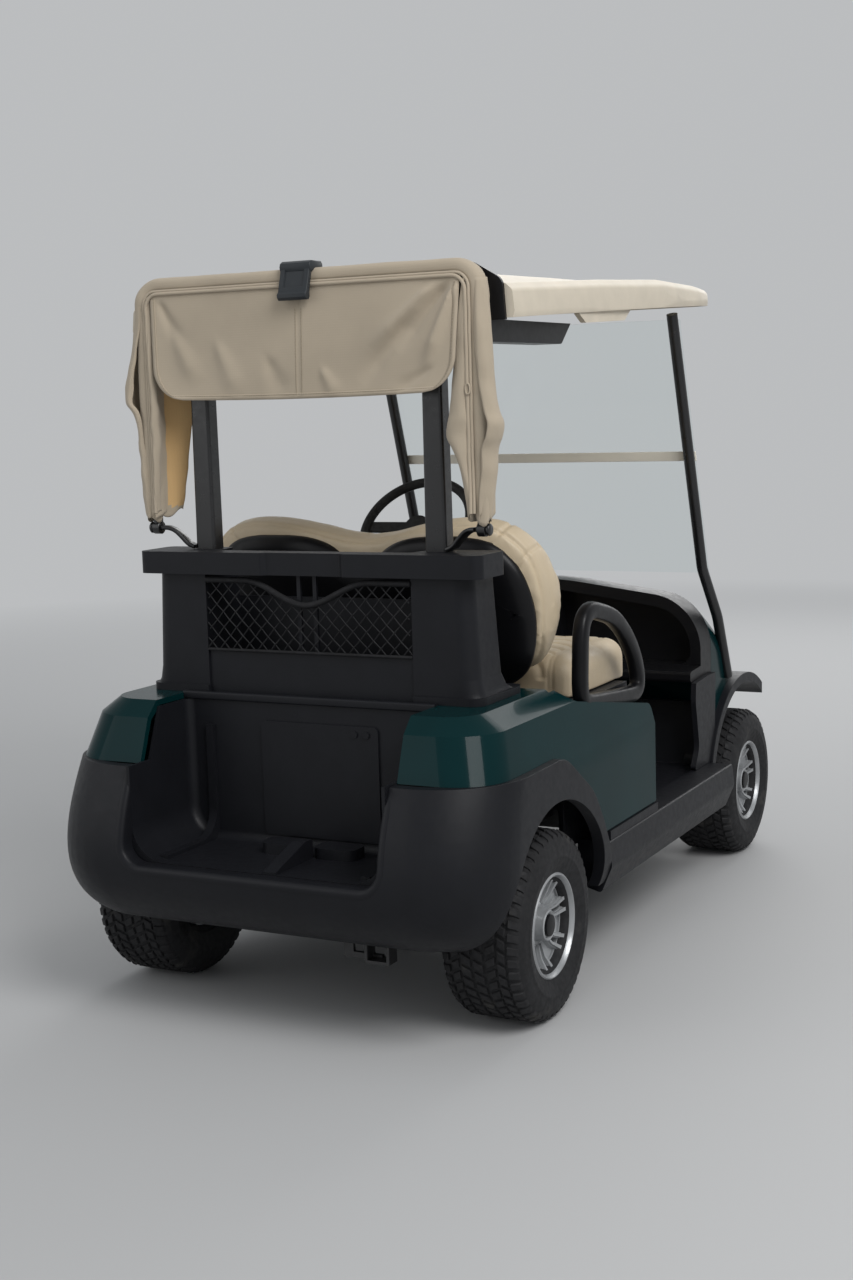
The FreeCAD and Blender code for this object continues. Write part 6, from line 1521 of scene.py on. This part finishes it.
    def clasp(self) -> bpy.types.Object:
        """Makes the clasp: a rounded head over the bow and a hooked plate that hangs over the cloth.

        Returns:
            The clasp.
        """
        mesh = bmesh.new()
        half = self.clasp_half
        head = (
            (0.797, 1.752), (0.797, 1.768), (0.803, 1.774), (0.846, 1.774), (0.855, 1.769), (0.858, 1.760),
            (0.855, 1.751), (0.846, 1.748), (0.820, 1.758), (0.806, 1.756),
        )
        plate = (
            (0.846, 1.768), (0.853, 1.766), (0.864, 1.730), (0.872, 1.704), (0.878, 1.698), (0.878, 1.690),
            (0.872, 1.684), (0.862, 1.684), (0.857, 1.690), (0.857, 1.702), (0.852, 1.722), (0.844, 1.750),
        )
        for outline, reach in ((head, half), (plate, half - 0.002)):
            made = bmesh.new()
            skinned(made, [[(x, y, z) for y, z in outline] for x in (-reach, reach)])
            bmesh.ops.recalc_face_normals(made, faces=made.faces)
            ends = [edge for edge in made.edges if abs(abs(edge.verts[0].co.x) - reach) < 1e-6
                    and abs(edge.verts[0].co.x - edge.verts[1].co.x) < 1e-6]
            eased(made, ends, 0.0025, 3)
            if outline is plate:
                made.normal_update()
                panel = [face for face in made.faces if face.normal.y > 0.8 and face.calc_area() > 0.001]
                bmesh.ops.inset_region(made, faces=panel, thickness=0.010, depth=0.0, use_even_offset=True)
                bmesh.ops.inset_region(made, faces=panel, thickness=0.0015, depth=-0.0035, use_even_offset=True)
            data = bpy.data.meshes.new("clasp_part")
            made.to_mesh(data)
            made.free()
            mesh.from_mesh(data)
            bpy.data.meshes.remove(data)
        return piece("cover_clasp", outward(mesh), "clasp_grey", "cover", smooth=40.0)

    def build(self) -> None:
        self.bow()
        self.clasp()
        self.flap()
        self.hem()
        self.flap_stitches()
        self.sleeve()
        self.binding()
        for side, rows in ((Side.LEFT, self.left_rows), (Side.RIGHT, self.right_rows)):
            curtain = self.curtain(side, rows)
            if side is Side.LEFT:
                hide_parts("cover_curtains")


@dataclass
class CoverBrackets:
    """The cranked arms from the struts' feet to the cover's pivots."""

    course: tuple[Point, ...] = (
        (0.349, 0.800, 1.1045), (0.366, 0.802, 1.1120), (0.384, 0.805, 1.1300), (0.400, 0.809, 1.1440),
        (0.416, 0.814, 1.1510), (0.4315, 0.818, 1.1520),
    )
    pivot: Point = (0.446, 0.818, 1.152)
    half_wide: float = 0.015
    half_thick: float = 0.0055
    pin: tuple[tuple[float, float], ...] = (
        # along the pin from the bow's middle, radius
        (-0.016, 0.0), (-0.016, 0.0068), (0.012, 0.0068), (0.012, 0.0125), (0.0135, 0.0140), (0.0185, 0.0140),
        (0.0205, 0.0120), (0.0205, 0.0),
    )

    def build(self) -> None:
        """Makes both arms with their pins."""
        mesh = bmesh.new()
        section = oval_section(self.half_wide, self.half_thick, 0.5, 16)
        for side in Side:
            path = smooth_path([(side.value * x, y, z) for x, y, z in self.course], 5)
            swept(mesh, path, section, Vector((0.0, 0.0, 1.0)))
            lathed(mesh, [(side.value * x, radius) for x, radius in self.pin], 28, closed=False)
            near = [vert for vert in mesh.verts if vert.co.length < 0.04]
            x, y, z = self.pivot
            bmesh.ops.translate(mesh, vec=(side.value * x, y, z), verts=near)
        piece("cover_arms", outward(mesh), "black_metal", "chassis", "cover_brackets", smooth=50.0)


# Basket net.


@dataclass
class BasketNet:
    """The elastic net: a diamond mesh of cord below a thick sagging rim."""

    half: float = 0.281
    low: float = 0.857
    rim_middle: float = 0.973
    rim_end: float = 1.030
    y: float = 0.864
    cell: float = 0.036
    cord: float = 0.0017
    rim_cord: float = 0.0075

    def rim_height(self, x: float) -> float:
        """Height of the rim above a place across the basket."""
        t = min(1.0, abs(x) / 0.17)
        ease = t * t * (3.0 - 2.0 * t)
        return self.rim_middle + (self.rim_end - self.rim_middle) * ease

    def bulge(self, x: float, z: float) -> float:
        """How far the net bellies towards the rear."""
        across = 1.0 - (x / self.half) ** 2
        up = (z - self.low) / (self.rim_end - self.low)
        return 0.004 * across * math.sin(math.pi * min(1.0, max(0.0, up)))

    def cords(self, mesh: bmesh.types.BMesh) -> None:
        """Adds both sets of slanting cords, each clipped by the basket's edges."""
        section = round_section(self.cord, 6)
        for slant in (1.0, -1.0):
            for number in range(-16, 17):
                path = []
                for step in range(0, 26):
                    z = self.low + step * 0.0075
                    x = number * self.cell + slant * (z - self.low) * 0.95
                    if abs(x) > self.half or z > self.rim_height(x):
                        if path:
                            break
                        continue
                    weave = 0.0012 * slant * math.cos(math.pi * (z - self.low) / (self.cell * 0.53))
                    path.append(Vector((x, self.y + self.bulge(x, z) + weave, z)))
                if len(path) > 1:
                    swept(mesh, path, section, Vector((0.0, 1.0, 0.0)))

    def rims(self, mesh: bmesh.types.BMesh) -> None:
        """Adds the thick upper rim and the thinner border cord."""
        top = []
        for step in range(41):
            x = self.half * (step / 20 - 1.0)
            z = self.rim_height(x)
            top.append(Vector((x, self.y + self.bulge(x, z), z)))
        for path, radius in ((top, self.rim_cord),
                             ([Vector((-self.half, self.y, self.low + 0.002)),
                               Vector((self.half, self.y, self.low + 0.002))], 0.004)):
            swept(mesh, path, round_section(radius, 10), Vector((0.0, 1.0, 0.0)))

    def build(self) -> None:
        """Makes the net."""
        mesh = bmesh.new()
        self.cords(mesh)
        self.rims(mesh)
        piece("basket_netting", outward(mesh), "net_black", "chassis", "basket_net", smooth=60.0)


# The CAD's own solids, dressed.


@dataclass
class DressedSolids:
    """CAD nodes that show as they are, with their edges broken and their finish on."""

    edge: float = 0.002
    # Bevels of other widths, the angles above which rounder solids are bevelled, and finishes of the scene's own.
    coarse: dict[str, float] = field(default_factory=lambda: {
        "rear_bumper": 0.012, "rear_body": 0.012, "bag_rack": 0.006, "sills": 0.006, "canopy": 0.006,
        "front_cowl": 0.006, "dash": 0.005, "kick_panels": 0.004, "front_bumper": 0.005,
        "windshield": 0.001, "windshield_strip": 0.0015, "access_panel": 0.0015,
    })
    rounded: dict[str, float] = field(default_factory=lambda: {"rear_body": 18.0})
    own: dict[str, str] = field(default_factory=lambda: {"windshield_strip": "strip_cream"})

    def build(self) -> None:
        """Gives each visible node its finish, a small bevel and smooth shading."""
        finishes = {entry["node"]: entry["material_slot"] for entry in frame["record"]["subparts"]}
        finishes |= self.own
        for name, node in frame["nodes"].items():
            node.data.materials.clear()
            node.data.materials.append(FINISH.give(finishes[name]))
            if node.hide_render:
                continue
            modified(node, "WELD", merge_threshold=1e-5)
            modified(node, "BEVEL", width=self.coarse.get(name, self.edge), segments=3, limit_method="ANGLE",
                     angle_limit=math.radians(self.rounded.get(name, 40.0)), harden_normals=False,
                     use_clamp_overlap=True)
            node.data.polygons.foreach_set("use_smooth", [True] * len(node.data.polygons))
            modified(node, "WEIGHTED_NORMAL", keep_sharp=True)
            log.info("dressed %s", name)


def main() -> None:
    """Builds the cart's looks, piece by piece."""
    logging.basicConfig(level=logging.INFO, format="%(name)s: %(message)s")
    noise.seed_set(WRINKLE_SEED)
    FINISH.build()
    axles = (("front", 0.876, -0.904), ("rear", 0.964, 0.760))
    wheels = [Wheel(end, side, track, axle) for end, track, axle in axles for side in Side]
    for part in (PhotoCamera(), Studio(), *wheels, SeatBottom(), SeatBack(), HipLoops(), WellTrim(), BagCover(),
                 CoverBrackets(), BasketNet(), DressedSolids()):
        part.build()
        log.info("built %s", type(part).__name__)
    bpy.context.scene.view_settings.view_transform = "Standard"


if __name__ == "__main__":
    main()
